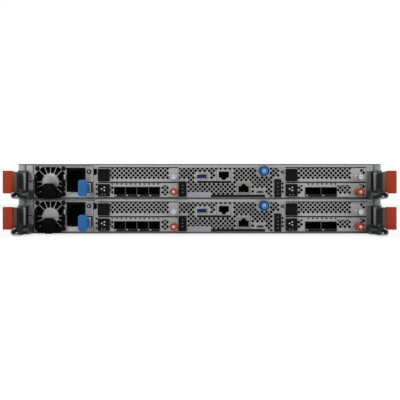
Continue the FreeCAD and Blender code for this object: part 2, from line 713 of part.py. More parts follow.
def jack(x, z, key_up):
    """An RJ-45 socket with a stepped key on one side."""
    shell = box(x - JACK_W / 2, x + JACK_W / 2, FACE_Y - PORT_OUT, FACE_Y + JACK_D,
                z - JACK_H / 2, z + JACK_H / 2)
    shift = -1 if key_up else 1
    mid = z + shift * JACK_OPEN_SHIFT
    low = mid - JACK_OPEN_H / 2
    high = mid + JACK_OPEN_H / 2
    start = FACE_Y - PORT_OUT - 1
    pocket = box(x - JACK_OPEN_W / 2, x + JACK_OPEN_W / 2, start, FACE_Y + JACK_POCKET, low, high)
    key_z = high if key_up else low - JACK_KEY_H
    key = box(x - JACK_KEY_W / 2, x + JACK_KEY_W / 2, start, FACE_Y + JACK_POCKET, key_z, key_z + JACK_KEY_H)
    return shell.cut(pocket).cut(key)


def ports():
    """USB, two network sockets, a micro-USB and the two black light blocks."""
    usb = box(USB_X - USB_W / 2, USB_X + USB_W / 2, FACE_Y - PORT_OUT, FACE_Y + JACK_D,
              USB_Z - USB_H / 2, USB_Z + USB_H / 2)
    mouth = grown(USB_X, USB_Z, USB_W, USB_H, -USB_WALL)
    usb = usb.cut(plate_xz(rectangle(*mouth), [], FACE_Y - PORT_OUT - 1, FACE_Y + JACK_POCKET))
    tongue = box(USB_X - USB_W / 2 + 2 * USB_WALL, USB_X + USB_W / 2 - 2 * USB_WALL, FACE_Y,
                 FACE_Y + JACK_POCKET, USB_Z, USB_Z + USB_TONGUE_H)
    usb = fuse([usb, tongue])
    outline = chamfered(*grown(MICRO_X, MICRO_Z, MICRO_W, MICRO_H, 0), MICRO_CHAMFER)
    micro = plate_xz(outline, [], FACE_Y - PORT_OUT, FACE_Y + MICRO_D)
    slot = rectangle(*grown(MICRO_X, MICRO_Z, MICRO_W - MICRO_CHAMFER, MICRO_H, -MICRO_WALL))
    micro = micro.cut(plate_xz(slot, [], FACE_Y - PORT_OUT - 1, FACE_Y + MICRO_POCKET))
    blocks = [
        plate_xz(chamfered(*edges, LIGHT_CHAMFER), [], FACE_Y - LIGHT_D, FACE_Y)
        for edges in LIGHT_BOXES
    ]
    high = jack(JACK_HIGH_X, JACK_HIGH_Z, False)
    low = jack(JACK_LOW_X, JACK_LOW_Z, True)
    return Part.makeCompound([usb, micro, high, low] + blocks)


def controller_board():
    """Board on standoffs with two heat sinks, memory modules and the connectors to the midplane."""
    y0 = FACE_Y + SLOT_L + BOARD_BEHIND
    y1 = CAN_END_Y - BOARD_END_GAP
    x0 = PSU_WALL_X + CAN_SHEET + BOARD_EDGE
    x1 = CAN_X - CAN_SHEET - BOARD_EDGE
    top = BOARD_Z + BOARD_T
    tongue_x0 = SLOT_LEFT_X1 + CAN_SHEET + SIDE_GAP
    tongue_x1 = SLOT_RIGHT_X0 - CAN_SHEET - SIDE_GAP
    pieces = [
        box(x0, x1, y0, y1, BOARD_Z, top),
        box(tongue_x0, tongue_x1, FACE_Y + JACK_D + SIDE_GAP, y0, BOARD_Z, top),
    ]
    half = STANDOFF_W / 2
    for x in (x0 + STANDOFF_EDGE, x1 - STANDOFF_EDGE):
        for y in (y0 + STANDOFF_EDGE, y1 - STANDOFF_EDGE):
            pieces.append(box(x - half, x + half, y - half, y + half, CAN_SHEET, BOARD_Z))
    sink_y0 = y0 + SINK_FRONT
    sink_y1 = FAN_BANK_Y - SINK_END
    fin_step = (SINK_W - FIN_T) / (FIN_COUNT - 1)
    for x in SINK_X:
        left = x - SINK_W / 2
        sink = [box(left, left + SINK_W, sink_y0, sink_y1, top, top + SINK_BASE_T)]
        for fin in range(FIN_COUNT):
            fx = left + fin * fin_step
            sink.append(box(fx, fx + FIN_T, sink_y0, sink_y1, top + SINK_BASE_T, CAN_IN_TOP - FIN_HEADROOM))
        pieces.append(fuse(sink))
    for x in MODULE_X:
        for module in range(MODULE_COUNT):
            mx = x + (module - (MODULE_COUNT - 1) / 2) * MODULE_PITCH - MODULE_T / 2
            pieces.append(box(mx, mx + MODULE_T, y0 + MODULE_FRONT, FAN_BANK_Y - MODULE_END,
                              top, top + MODULE_H))
    for x in CAN_PLUG_X:
        pieces.append(box(x - CAN_PLUG_W / 2, x + CAN_PLUG_W / 2, CAN_END_Y - PLUG_L,
                          MIDPLANE_Y - CONNECTOR_D - MATE_GAP, top, top + CAN_PLUG_H))
    return Part.makeCompound(pieces)


def fan_bank():
    """A row of inner fans behind the heat sinks, each a block with a ring-shaped mouth round its hub."""
    frames = []
    z0 = BOARD_Z + BOARD_T
    height = CAN_IN_TOP - z0 - SIDE_GAP
    mid_z = z0 + height / 2
    mouth_y = FAN_BANK_Y + FAN_BORE_DEEP
    for fan in range(FAN_COUNT):
        x = (fan - (FAN_COUNT - 1) / 2) * FAN_PITCH + FAN_BANK_X
        square = rectangle(x - FAN_SIZE / 2, x + FAN_SIZE / 2, z0, z0 + height)
        back = plate_xz(square, [], mouth_y, FAN_BANK_Y + FAN_D)
        rim = plate_xz(square, [polygon(x, mid_z, FAN_BORE_R, 8)], FAN_BANK_Y, mouth_y)
        hub = plate_xz(polygon(x, mid_z, FAN_HUB_R, 6), [], FAN_BANK_Y + 1, mouth_y)
        frames.append(fuse([back, rim, hub]))
    return Part.makeCompound(frames)


# ---- cards ----

def card_screw(x, z, radius, bore):
    """Captive thumbscrew of a card; the ring kind has a deep recess in its head."""
    knob = plate_xz(polygon(x, z, radius, KNOB_SIDES), [], FACE_Y - KNOB_D, FACE_Y)
    if bore:
        recess = plate_xz(polygon(x, z, bore, KNOB_SIDES), [], FACE_Y - KNOB_D - 1,
                          FACE_Y - KNOB_D + RING_KNOB_BORE_D)
        knob = knob.cut(recess)
    else:
        slot = box(x - radius, x + radius, FACE_Y - KNOB_D - 1, FACE_Y - KNOB_D + KNOB_SLOT_D,
                   z - KNOB_SLOT_W / 2, z + KNOB_SLOT_W / 2)
        knob = knob.cut(slot)
    return knob


def card(x0, x1, screw_in, upper, cages):
    """A card: bracket, circuit board, black end block, thumbscrew, and cages or a field of holes."""
    slot_z0 = SLOT_SHELF_Z + SLOT_SHELF_T if upper else CAN_SHEET
    slot_z1 = SLOT_TOP_Z if upper else SLOT_SHELF_Z
    left = x0 + CARD_GAP
    right = x1 - CARD_GAP
    z0 = slot_z0 + CARD_GAP
    z1 = slot_z1 - CARD_TOP_GAP
    block_x1 = left + BLOCK_W
    screw_x = right - screw_in
    screw_z = (z0 + z1) / 2 - (HIGH_SCREW_DROP if upper else LOW_SCREW_DROP)
    pcb_z = z0 + CARD_LIFT
    pcb_y0 = FACE_Y + FACE_T
    pcb_y1 = FACE_Y + CARD_L
    pcb = box(left + RUNNER_W, right - RUNNER_W, pcb_y0, pcb_y1, pcb_z, pcb_z + CARD_PCB_T)
    left_runner = box(left + RUNNER_W, left + 2 * RUNNER_W, pcb_y0, pcb_y1, z0, pcb_z)
    right_runner = box(right - 2 * RUNNER_W, right - RUNNER_W, pcb_y0, pcb_y1, z0, pcb_z)
    block_z0 = (z0 + z1 - BLOCK_H) / 2 - BLOCK_DROP
    block_z1 = block_z0 + BLOCK_H
    block_outline = chamfered(left, block_x1, block_z0, block_z1, BLOCK_CHAMFER)
    block = plate_xz(block_outline, [], FACE_Y - BLOCK_D, FACE_Y)
    scoop = box(left + SCOOP_RIM, block_x1 - SCOOP_RIM, FACE_Y - BLOCK_D - 1, FACE_Y - BLOCK_D + SCOOP_D,
                block_z1 - 2 * SCOOP_H, block_z1 - SCOOP_H)
    parts = [block.cut(scoop)]
    if cages is None:
        field_x1 = screw_x - RING_KNOB_R - FIELD_START
        holes = diamond_holes(block_x1 + FIELD_START, field_x1, z0 + BRACKET_FOOT, z1, [])
        parts.append(card_screw(screw_x, screw_z, KNOB_R, None))
    else:
        start, step, width, height, length, pocket, count = cages
        first_x = block_x1 + start
        last_x = first_x + (count - 1) * step + width
        holes = [rectangle(first_x, last_x, CAGE_Z, CAGE_Z + height)]
        parts.append(ganged_cage(first_x, last_x, step, width, height, length, pocket, count))
        parts.append(card_screw(screw_x, screw_z, RING_KNOB_R, RING_KNOB_BORE_R))
    bracket = plate_xz(rectangle(left, right, z0, z1), holes, FACE_Y, FACE_Y + FACE_T)
    return Part.makeCompound([bracket, pcb, left_runner, right_runner] + parts)


def ganged_cage(x0, x1, step, width, height, length, pocket, count):
    """A row of open sockets for plug-in transceivers in one housing."""
    y0 = FACE_Y - CAGE_OUT
    shell = box(x0, x1, y0, FACE_Y + length, CAGE_Z, CAGE_Z + height)
    sockets = [
        box(x0 + k * step + CAGE_WALL, x0 + k * step + width - CAGE_WALL, y0 - 1, FACE_Y + pocket,
            CAGE_Z + CAGE_WALL, CAGE_Z + height - CAGE_WALL)
        for k in range(count)
    ]
    return shell.cut(Part.makeCompound(sockets))


SMALL_CAGES = (CAGE_START, CAGE_PITCH, CAGE_PITCH, CAGE_H, CAGE_L, CAGE_POCKET, CAGE_COUNT)
WIDE_CAGES = (WIDE_CAGE_START, WIDE_CAGE_STEP, WIDE_CAGE_W, WIDE_CAGE_H, WIDE_CAGE_L, WIDE_CAGE_POCKET,
              WIDE_CAGE_COUNT)


def lock_screw():
    """Blue thumbscrew that holds the canister."""
    knob_y1 = FACE_Y - SIDE_GAP
    knob = plate_xz(polygon(BLUE_X, BLUE_Z, BLUE_R, BLUE_SIDES), [], knob_y1 - BLUE_D, knob_y1)
    recess = plate_xz(polygon(BLUE_X, BLUE_Z, BLUE_BORE_R, 6), [], knob_y1 - BLUE_D - 1,
                      knob_y1 - BLUE_D + BLUE_BORE_D)
    shaft = rod(BLUE_X, knob_y1, BLUE_Z, BLUE_SHAFT_R, BLUE_SHAFT_L, (0, 1, 0))
    return fuse([knob.cut(recess), shaft])


# ---- power supply ----

def duct_outline():
    """Square with cut corners, in which the fan turns."""
    return chamfered(*grown(FAN_X, FAN_Z, DUCT_SIDE, DUCT_SIDE, 0), DUCT_CUT)


def guard():
    """Thin spokes that run from a plain hub to the sides of the duct."""
    hub = plate_xz(polygon(FAN_X, FAN_Z, GUARD_HUB_R, GUARD_STEPS), [], FACE_Y, FACE_Y + GUARD_T)
    spokes = []
    for step in range(GUARD_STEPS):
        if step in GUARD_LEFT_OUT:
            continue
        spoke = box(FAN_X, FAN_X + DUCT_SIDE, FACE_Y, FACE_Y + GUARD_T,
                    FAN_Z - GUARD_SPOKE_W / 2, FAN_Z + GUARD_SPOKE_W / 2)
        middle = FreeCAD.Vector(FAN_X, FACE_Y, FAN_Z)
        spoke.rotate(middle, FreeCAD.Vector(0, -1, 0), 360.0 * step / GUARD_STEPS)
        spokes.append(spoke)
    window = plate_xz(duct_outline(), [], FACE_Y, FACE_Y + GUARD_T)
    return fuse([hub] + spokes).common(window)


def psu_case():
    """Steel case with the fan duct behind a spoked guard, the lugs of the bail and the pocket of the tab."""
    body = box(PSU_X0, PSU_X1, FACE_Y, FACE_Y + PSU_L, PSU_Z0, PSU_TOP_Z)
    duct = plate_xz(duct_outline(), [], FACE_Y - 1, FACE_Y + PSU_FAN_DEEP)
    inlet_edges = grown(INLET_X, INLET_Z, INLET_W, INLET_H, 0)
    well = plate_xz(rectangle(*inlet_edges), [], FACE_Y - 1, FACE_Y + INLET_D)
    shapes = [body.cut(Part.makeCompound([duct, well])), guard()]
    shapes.append(rod(FAN_X, FACE_Y + GUARD_T, FAN_Z, ROTOR_BORE_R, PSU_FAN_DEEP - GUARD_T, (0, 1, 0)))
    lug_out = BAIL_PIVOT_Y + BAIL_PIN_R + LUG_RIM
    left_lug_x1 = BAIL_X0 - SIDE_GAP
    right_lug_x0 = BAIL_X1 + SIDE_GAP
    for lug_x0, pin_x, inward in ((left_lug_x1 - LUG_W, left_lug_x1, 1), (right_lug_x0, right_lug_x0, -1)):
        shapes.append(box(lug_x0, lug_x0 + LUG_W, FACE_Y - lug_out, FACE_Y,
                          BAIL_PIVOT_Z - LUG_H / 2, BAIL_PIVOT_Z + LUG_H / 2))
        shapes.append(rod(pin_x, FACE_Y - BAIL_PIVOT_Y, BAIL_PIVOT_Z, BAIL_PIN_R,
                          SIDE_GAP + BAIL_ARM_W, (inward, 0, 0)))
    case = fuse(shapes)
    stem_x0 = TAB_X0 + TAB_STEM_IN
    pocket_z0 = TAB_Z0 + (TAB_H - TAB_STEM_H) / 2 - SIDE_GAP
    slot = box(stem_x0 - TAB_TRAVEL - SIDE_GAP, stem_x0 + TAB_STEM_W + SIDE_GAP, FACE_Y - 1,
               FACE_Y + TAB_SINK + SIDE_GAP, pocket_z0, pocket_z0 + TAB_STEM_H + 2 * SIDE_GAP)
    return case.cut(slot)


def psu_inlet():
    """Black appliance inlet with three pins in its recess and a cut corner below."""
    x0, x1, z0, z1 = grown(INLET_X, INLET_Z, INLET_W, INLET_H, -INLET_GAP)
    cut = INLET_CHAMFER
    body = plate_xz(rectangle(x0, x1, z0, z1), [], FACE_Y, FACE_Y + INLET_D - INLET_GAP)
    nose = plate_xz([(x0 + cut, z0), (x1, z0), (x1, z1), (x0, z1), (x0, z0 + cut)], [],
                    FACE_Y - INLET_OUT, FACE_Y)
    half_w = INLET_OPEN_W / 2
    half_h = INLET_OPEN_H / 2
    corner = INLET_CORNER
    mouth = [
        (INLET_X - half_w + corner, INLET_Z - half_h), (INLET_X + half_w, INLET_Z - half_h),
        (INLET_X + half_w, INLET_Z + half_h), (INLET_X - half_w + corner, INLET_Z + half_h),
        (INLET_X - half_w, INLET_Z + half_h - corner), (INLET_X - half_w, INLET_Z - half_h + corner),
    ]
    recess = plate_xz(mouth, [], FACE_Y - INLET_OUT - 1, FACE_Y + INLET_OPEN_D)
    shapes = [fuse([body, nose]).cut(recess)]
    for shift, z in ((PIN_ROW, PIN_SPREAD), (PIN_ROW, -PIN_SPREAD), (-PIN_ROW, 0.0)):
        x = INLET_X + shift
        shapes.append(box(x - PIN_H / 2, x + PIN_H / 2, FACE_Y + INLET_OPEN_D - PIN_L, FACE_Y + INLET_OPEN_D,
                          INLET_Z + z - PIN_W / 2, INLET_Z + z + PIN_W / 2))
    return fuse(shapes)


def psu_rotor():
    """Fan rotor: a hub on a shaft and tilted blades."""
    y0 = FACE_Y + GUARD_T + ROTOR_GAP
    y1 = y0 + ROTOR_D
    shapes = [rod(FAN_X, y0, FAN_Z, ROTOR_HUB_R, ROTOR_D, (0, 1, 0))]
    for blade in range(ROTOR_BLADES):
        vane = box(ROTOR_HUB_R - ROTOR_VANE_SINK, ROTOR_R, -ROTOR_VANE_T / 2, ROTOR_VANE_T / 2,
                   -VANE_W / 2, VANE_W / 2)
        vane.rotate(FreeCAD.Vector(0, 0, 0), FreeCAD.Vector(1, 0, 0), BLADE_TILT)
        vane.rotate(FreeCAD.Vector(0, 0, 0), FreeCAD.Vector(0, 1, 0), 360.0 * blade / ROTOR_BLADES)
        vane.translate(FreeCAD.Vector(FAN_X, (y0 + y1) / 2, FAN_Z))
        shapes.append(vane)
    bore = rod(FAN_X, y0 - 1, FAN_Z, ROTOR_BORE_R + TURN_FIT, ROTOR_D + 2, (0, 1, 0))
    return fuse(shapes).cut(bore)


def psu_bail():
    """Black bail that hangs from two pins: arms, a bar and an eight-sided grip pad."""
    y1 = FACE_Y - BAIL_PIVOT_Y + BAIL_ARM_D / 2
    y0 = y1 - BAIL_ARM_D
    top = BAIL_PIVOT_Z + BAIL_PIN_R + BAIL_HEAD
    bar_z1 = BAIL_BOTTOM_Z + BAIL_BAR_H
    middle = (BAIL_X0 + BAIL_X1) / 2
    shapes = []
    for x0 in (BAIL_X0, BAIL_X1 - BAIL_ARM_W):
        shapes.append(box(x0, x0 + BAIL_ARM_W, y0, y1, bar_z1, top))
    bar = [
        (BAIL_X0, bar_z1), (BAIL_X0 + BAIL_SLOPE, BAIL_BOTTOM_Z), (BAIL_X1 - BAIL_SLOPE, BAIL_BOTTOM_Z),
        (BAIL_X1, bar_z1), (BAIL_X1, bar_z1 + BAIL_BAR_LAP), (BAIL_X0, bar_z1 + BAIL_BAR_LAP),
    ]
    shapes.append(plate_xz(bar, [], y0, y1))
    pad_z0 = BAIL_BOTTOM_Z - BAIL_PAD_DROP
    pad = chamfered(middle - BAIL_PAD_W / 2, middle + BAIL_PAD_W / 2, pad_z0, pad_z0 + BAIL_PAD_H,
                    BAIL_PAD_CHAMFER)
    shapes.append(plate_xz(pad, [], y1 - BAIL_PAD_D, y1))
    bail = fuse(shapes)
    return bail.cut(rod(BAIL_X0 - 1, FACE_Y - BAIL_PIVOT_Y, BAIL_PIVOT_Z, BAIL_PIN_R + TURN_FIT,
                        BAIL_X1 - BAIL_X0 + 2, (1, 0, 0)))


def psu_tab():
    """Blue release tab: a thumb pad on a stem that slides in the case."""
    stem_x0 = TAB_X0 + TAB_STEM_IN
    stem_z0 = TAB_Z0 + (TAB_H - TAB_STEM_H) / 2
    pad = plate_xz(chamfered(TAB_X0, TAB_X0 + TAB_W, TAB_Z0, TAB_Z0 + TAB_H, TAB_CHAMFER), [],
                   FACE_Y - TAB_OUT, FACE_Y - TAB_OUT + TAB_PAD_D)
    stem = box(stem_x0, stem_x0 + TAB_STEM_W, FACE_Y - TAB_OUT + TAB_PAD_D, FACE_Y + TAB_SINK,
               stem_z0, stem_z0 + TAB_STEM_H)
    return fuse([pad, stem])


# ---- latches, built for the left side ----

def latch_bracket():
    """Steel bracket with the upright hinge pin of the locking tab and the lugs of the pull handle."""
    y1 = FACE_Y - BRACKET_FACE_GAP
    y0 = y1 - BRACKET_T
    hinge_x1 = HINGE_X + HINGE_BARREL_R
    foot_z1 = HINGE_EAR_Z - BRACKET_STEP
    lug_z0 = HANDLE_PIVOT_Z - CURL_R - FLOOR_GAP
    outline = [
        (BRACKET_X0, lug_z0), (BRACKET_X1, lug_z0), (BRACKET_X1, foot_z1), (hinge_x1, foot_z1),
        (hinge_x1, BRACKET_TOP_Z), (BRACKET_X0, BRACKET_TOP_Z),
    ]
    shapes = [plate_xz(outline, [], y0, y1)]
    foot_x0 = -CAN_X + SIDE_GAP
    shapes.append(box(foot_x0, BRACKET_X1, y1, FACE_Y, 0, foot_z1))
    ear_y0 = FACE_Y - HINGE_OUT - HINGE_BARREL_R - EAR_LIP
    for z in (HINGE_EAR_Z, BRACKET_TOP_Z - BRACKET_T):
        shapes.append(box(BRACKET_X0, hinge_x1, ear_y0, y0, z, z + BRACKET_T))
    shapes.append(rod(HINGE_X, FACE_Y - HINGE_OUT, HINGE_EAR_Z, HINGE_PIN_R,
                      BRACKET_TOP_Z - HINGE_EAR_Z, (0, 0, 1)))
    lug_y0 = FACE_Y - HANDLE_PIVOT_OUT - HANDLE_BARREL_R
    for x0, x1 in ((BRACKET_X0, HANDLE_X0 - SIDE_GAP), (HANDLE_X1 + SIDE_GAP, BRACKET_X1)):
        shapes.append(box(x0, x1, lug_y0, y0, lug_z0, foot_z1))
    shapes.append(rod(HANDLE_X0 - SIDE_GAP, FACE_Y - HANDLE_PIVOT_OUT, HANDLE_PIVOT_Z, HANDLE_PIN_R,
                      HANDLE_X1 - HANDLE_X0 + 2 * SIDE_GAP, (1, 0, 0)))
    return fuse(shapes)


def locking_tab():
    """Lever on the upright pin: barrel, web with a window, side plate and the moulded orange grip."""
    z0 = HINGE_EAR_Z + BRACKET_T + SIDE_GAP
    z1 = BRACKET_TOP_Z - BRACKET_T - SIDE_GAP
    hinge_y = FACE_Y - HINGE_OUT
    barrel = rod(HINGE_X, hinge_y, z0, HINGE_BARREL_R, z1 - z0, (0, 0, 1))
    web = box(TAB_SIDE_X, HINGE_X, hinge_y - TAB_SIDE_T / 2, hinge_y + TAB_SIDE_T / 2, z0, z1)
    side = box(TAB_SIDE_X, TAB_SIDE_X + TAB_SIDE_T, FACE_Y - TAB_SIDE_OUT, hinge_y + TAB_SIDE_T / 2, z0, z1)
    y0 = FACE_Y - GRIP_OUT
    y1 = y0 + GRIP_D
    r = GRIP_ROUND
    outline = [
        (GRIP_X0, y0 + r), (GRIP_X0 + r, y0), (GRIP_X1 - r, y0), (GRIP_X1, y0 + r),
        (GRIP_X1, y1 - r), (GRIP_X1 - r, y1), (GRIP_X0 + r, y1), (GRIP_X0, y1 - r),
    ]
    grip = plate_xy(outline, GRIP_Z0, GRIP_Z1)
    window_x = (TAB_SIDE_X + TAB_SIDE_T + HINGE_X - HINGE_BARREL_R) / 2
    window = box(window_x - WINDOW_W / 2, window_x + WINDOW_W / 2, hinge_y - TAB_SIDE_T, hinge_y + TAB_SIDE_T,
                 z0 + WINDOW_RIM, z1 - WINDOW_RIM)
    lever = fuse([barrel, web, side, grip]).cut(window)
    return lever.cut(rod(HINGE_X, hinge_y, z0 - 1, HINGE_PIN_R + TURN_FIT, z1 - z0 + 2, (0, 0, 1)))


def curl_section(x, z):
    """A ring of flats with its mouth towards the plate, as corners of one outline."""
    turn = 2 * math.pi / CURL_SIDES
    first = -turn * CURL_MOUTH
    outer = []
    inner = []
    for k in range(CURL_SIDES - CURL_MOUTH + 1):
        angle = first - k * turn + turn * CURL_MOUTH / 2 + math.pi / 4
        outer.append((x + CURL_R * math.cos(angle), z + CURL_R * math.sin(angle)))
        inner.append((x + (CURL_R - CURL_WALL) * math.cos(angle), z + (CURL_R - CURL_WALL) * math.sin(angle)))
    return outer + inner[::-1]


def pull_handle():
    """Steel handle: a barrel on its pin, a flat plate and a rolled outer edge."""
    pivot_y = FACE_Y - HANDLE_PIVOT_OUT
    end_y = pivot_y - HANDLE_REACH
    curl_x = HANDLE_X0 + CURL_R
    barrel = rod(HANDLE_X0, pivot_y, HANDLE_PIVOT_Z, HANDLE_BARREL_R, HANDLE_X1 - HANDLE_X0, (1, 0, 0))
    plate_z0 = HANDLE_PIVOT_Z - CURL_R
    plate = box(curl_x, HANDLE_X1, end_y, pivot_y, plate_z0, plate_z0 + HANDLE_T)
    curl_y1 = pivot_y - HANDLE_BARREL_R - CURL_START
    curl = plate_xz(curl_section(curl_x, HANDLE_PIVOT_Z), [], end_y, curl_y1)
    handle = fuse([plate, curl, barrel])
    bore = rod(HANDLE_X0 - 1, pivot_y, HANDLE_PIVOT_Z, HANDLE_PIN_R + TURN_FIT,
               HANDLE_X1 - HANDLE_X0 + 2, (1, 0, 0))
    return handle.cut(bore)


def canister_pieces():
    """Every piece of one canister, by name."""
    bracket = latch_bracket()
    tab = locking_tab()
    handle = pull_handle()
    left = (SLOT_LEFT_X0, SLOT_LEFT_X1, LEFT_SCREW_IN)
    right = (SLOT_RIGHT_X0, SLOT_RIGHT_X1, RIGHT_SCREW_IN)
    return {
        "tray": canister_tray(),
        "cover": canister_cover(),
        "port_panel": port_panel(),
        "ports": ports(),
        "controller_board": controller_board(),
        "fan_bank": fan_bank(),
        "card_1": card(*left, True, None),
        "card_2": card(*left, False, SMALL_CAGES),
        "card_3": card(*right, True, None),
        "card_4": card(*right, False, WIDE_CAGES),
        "lock_screw": lock_screw(),
        "psu_case": psu_case(),
        "psu_inlet": psu_inlet(),
        "psu_fan": psu_rotor(),
        "psu_bail": psu_bail(),
        "psu_tab": psu_tab(),
        "latch_brackets": Part.makeCompound([bracket, mirrored(bracket)]),
        "latch_tab_left": tab,
        "latch_tab_right": mirrored(tab),
        "handle_left": handle,
        "handle_right": mirrored(handle),
    }


def all_pieces():
    """Every node of the enclosure."""
    pieces = {
        "chassis_shell": chassis_shell(),
        "chassis_cover": chassis_cover(),
        "canister_shelf": canister_shelf(),
        "drive_cage": drive_cage(),
        "midplane": midplane(),
        "rack_ears": rack_ears(),
    }
    for row in range(ROWS):
        for column in range(COLUMNS):
            pieces[f"drive_{row + 1}{column + 1}"] = drive(column, row)
    canister = canister_pieces()
    for place, height in CAN_BASE.items():
        for name, shape in canister.items():
            pieces[f"{place}_{name}"] = raised(shape, height)
    return pieces


os.makedirs("parts", exist_ok=True)
for node, shape in all_pieces().items():
    shape.exportStep(f"parts/{node}.step")
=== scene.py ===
# %% [markdown]
# # A 2U disk shelf enclosure, seen from its input and output side
# The enclosure is a folded steel chassis. Two controller canisters slide into it, one above the
# other, and twelve drives slide in from the other end. The construction already exists as solids at
# their real size, so this lesson gives them their finishes and adds the small pieces that make
# sheet metal look real: fine perforation, rolled edges, knurled knobs, contacts and light windows.
# The frame comes first, because every place below is counted from its face and its trays.

# %% Load the frame and keep its size
import json
import math

import bpy
from mathutils import Matrix, Vector


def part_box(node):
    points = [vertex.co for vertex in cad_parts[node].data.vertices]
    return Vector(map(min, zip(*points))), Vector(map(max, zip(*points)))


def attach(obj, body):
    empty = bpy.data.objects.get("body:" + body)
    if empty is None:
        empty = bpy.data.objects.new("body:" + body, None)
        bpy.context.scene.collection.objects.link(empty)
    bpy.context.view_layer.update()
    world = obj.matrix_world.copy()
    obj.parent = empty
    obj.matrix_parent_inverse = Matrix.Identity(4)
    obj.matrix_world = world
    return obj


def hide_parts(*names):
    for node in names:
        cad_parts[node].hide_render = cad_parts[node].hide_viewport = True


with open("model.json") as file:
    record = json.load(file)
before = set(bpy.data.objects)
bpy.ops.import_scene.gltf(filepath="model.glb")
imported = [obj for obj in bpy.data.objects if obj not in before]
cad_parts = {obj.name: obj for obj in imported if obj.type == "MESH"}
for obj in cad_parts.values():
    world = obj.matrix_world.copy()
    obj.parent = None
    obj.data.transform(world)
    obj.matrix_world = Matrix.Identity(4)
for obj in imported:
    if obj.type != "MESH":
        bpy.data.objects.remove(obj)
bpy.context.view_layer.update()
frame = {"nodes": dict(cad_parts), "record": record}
MM = 0.001
FACE_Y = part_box("chassis_shell")[0].y
BASE_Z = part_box("lower_tray")[0].z
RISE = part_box("upper_tray")[0].z - BASE_Z
print("nodes", len(frame["nodes"]), "canister rise in mm", round(RISE / MM, 2))

# %% [markdown]
# ## Helpers for modelling by hand
# Every new piece starts as a primitive at its real size and place. An operator acts on all that is
# selected, so everything is deselected first. Bevels and cuts are modifiers that are applied at
# once. A primitive's place is put into its mesh, so that its object rests at the origin like the
# solids of the frame.

# %% Select, cut, bevel and finish


def only(obj):
    """Select one object and nothing else."""
    if bpy.context.object and bpy.context.object.mode != "OBJECT":
        bpy.ops.object.mode_set(mode="OBJECT")
    bpy.ops.object.select_all(action="DESELECT")
    obj.select_set(True)
    bpy.context.view_layer.objects.active = obj
    return obj


def added(name):
    """Name the primitive that was just added and apply its place and size."""
    obj = bpy.context.object
    obj.name = name
    obj.data.name = name
    only(obj)
    bpy.ops.object.transform_apply(location=True, rotation=True, scale=True)
    return obj


def block(name, x0, x1, y0, y1, z0, z1):
    """A rectangular start between two corners, in millimetres on the lower canister."""
    bpy.ops.object.select_all(action="DESELECT")
    middle = ((x0 + x1) / 2 * MM, (y0 + y1) / 2 * MM + FACE_Y, (z0 + z1) / 2 * MM + BASE_Z)
    bpy.ops.mesh.primitive_cube_add(size=1, location=middle,
                                    scale=((x1 - x0) * MM, (y1 - y0) * MM, (z1 - z0) * MM))
    return added(name)


def block_at(name, x, z, half_x, half_z, y0, y1):
    """A block given by the middle of its face."""
    return block(name, x - half_x, x + half_x, y0, y1, z - half_z, z + half_z)


def disc(name, x, z, radius, y0, y1, sides=24):
    """A round start whose axis points out of the face, in millimetres on the lower canister."""
    bpy.ops.object.select_all(action="DESELECT")
    middle = (x * MM, (y0 + y1) / 2 * MM + FACE_Y, z * MM + BASE_Z)
    bpy.ops.mesh.primitive_cylinder_add(vertices=sides, radius=radius * MM, depth=(y1 - y0) * MM,
                                        location=middle, rotation=(math.pi / 2, 0, 0))
    return added(name)


def applied(obj, kind, **settings):
    """Add a modifier, set it and apply it."""
    only(obj)
    modifier = obj.modifiers.new(kind.lower(), kind)
    for key, value in settings.items():
        setattr(modifier, key, value)
    bpy.ops.object.modifier_apply(modifier=modifier.name)
    return obj


def bevelled(obj, width, segments=2, angle=35.0):
    """Round the sharp edges by a width in millimetres."""
    return applied(obj, "BEVEL", width=width * MM, segments=segments, limit_method="ANGLE",
                   angle_limit=math.radians(angle), harden_normals=False)


def cut(obj, cutter, operation="DIFFERENCE"):
    """Cut one mesh out of another and remove the tool."""
    applied(obj, "BOOLEAN", operation=operation, object=cutter, solver="EXACT")
    bpy.data.objects.remove(cutter)
    return obj


def joined(name, pieces):
    """Join several meshes into one piece."""
    only(pieces[0])
    for piece in pieces:
        piece.select_set(True)
    bpy.ops.object.join()
    obj = bpy.context.object
    obj.name = name
    obj.data.name = name
    return obj


def picked_faces(obj, wanted):
    """Select the faces that a test holds for, leaving the piece in edit mode."""
    only(obj)
    bpy.ops.object.mode_set(mode="EDIT")
    bpy.ops.mesh.select_mode(type="FACE")
    bpy.ops.mesh.select_all(action="DESELECT")
    bpy.ops.object.mode_set(mode="OBJECT")
    for polygon in obj.data.polygons:
        polygon.select = wanted(polygon)
    bpy.ops.object.mode_set(mode="EDIT")


def pushed(obj, inset, depth):
    """Inset the front faces and push them in (positive depth) or pull them out."""
    outwards = Vector((0, -1, 0))
    picked_faces(obj, lambda polygon: polygon.normal.dot(outwards) > 0.99)
    bpy.ops.mesh.inset(thickness=inset * MM, use_even_offset=True)
    move = outwards * (-depth * MM)
    bpy.ops.mesh.extrude_region_move(TRANSFORM_OT_translate={"value": tuple(move)})
    bpy.ops.object.mode_set(mode="OBJECT")
    return obj


def smoothed(obj, angle=35.0):
    """Shade a piece smooth and keep the edges sharper than an angle in degrees."""
    only(obj)
    bpy.ops.object.shade_smooth_by_angle(angle=math.radians(angle))
    return obj


def own_copy(obj, name):
    """A copy with its own mesh."""
    twin = obj.copy()
    twin.data = obj.data.copy()
    twin.name = name
    twin.data.name = name
    bpy.context.scene.collection.objects.link(twin)
    return twin


def moved(obj, dx, dz):
    """Shift a piece's mesh across the face by millimetres."""
    obj.data.transform(Matrix.Translation((dx * MM, 0, dz * MM)))
    return obj


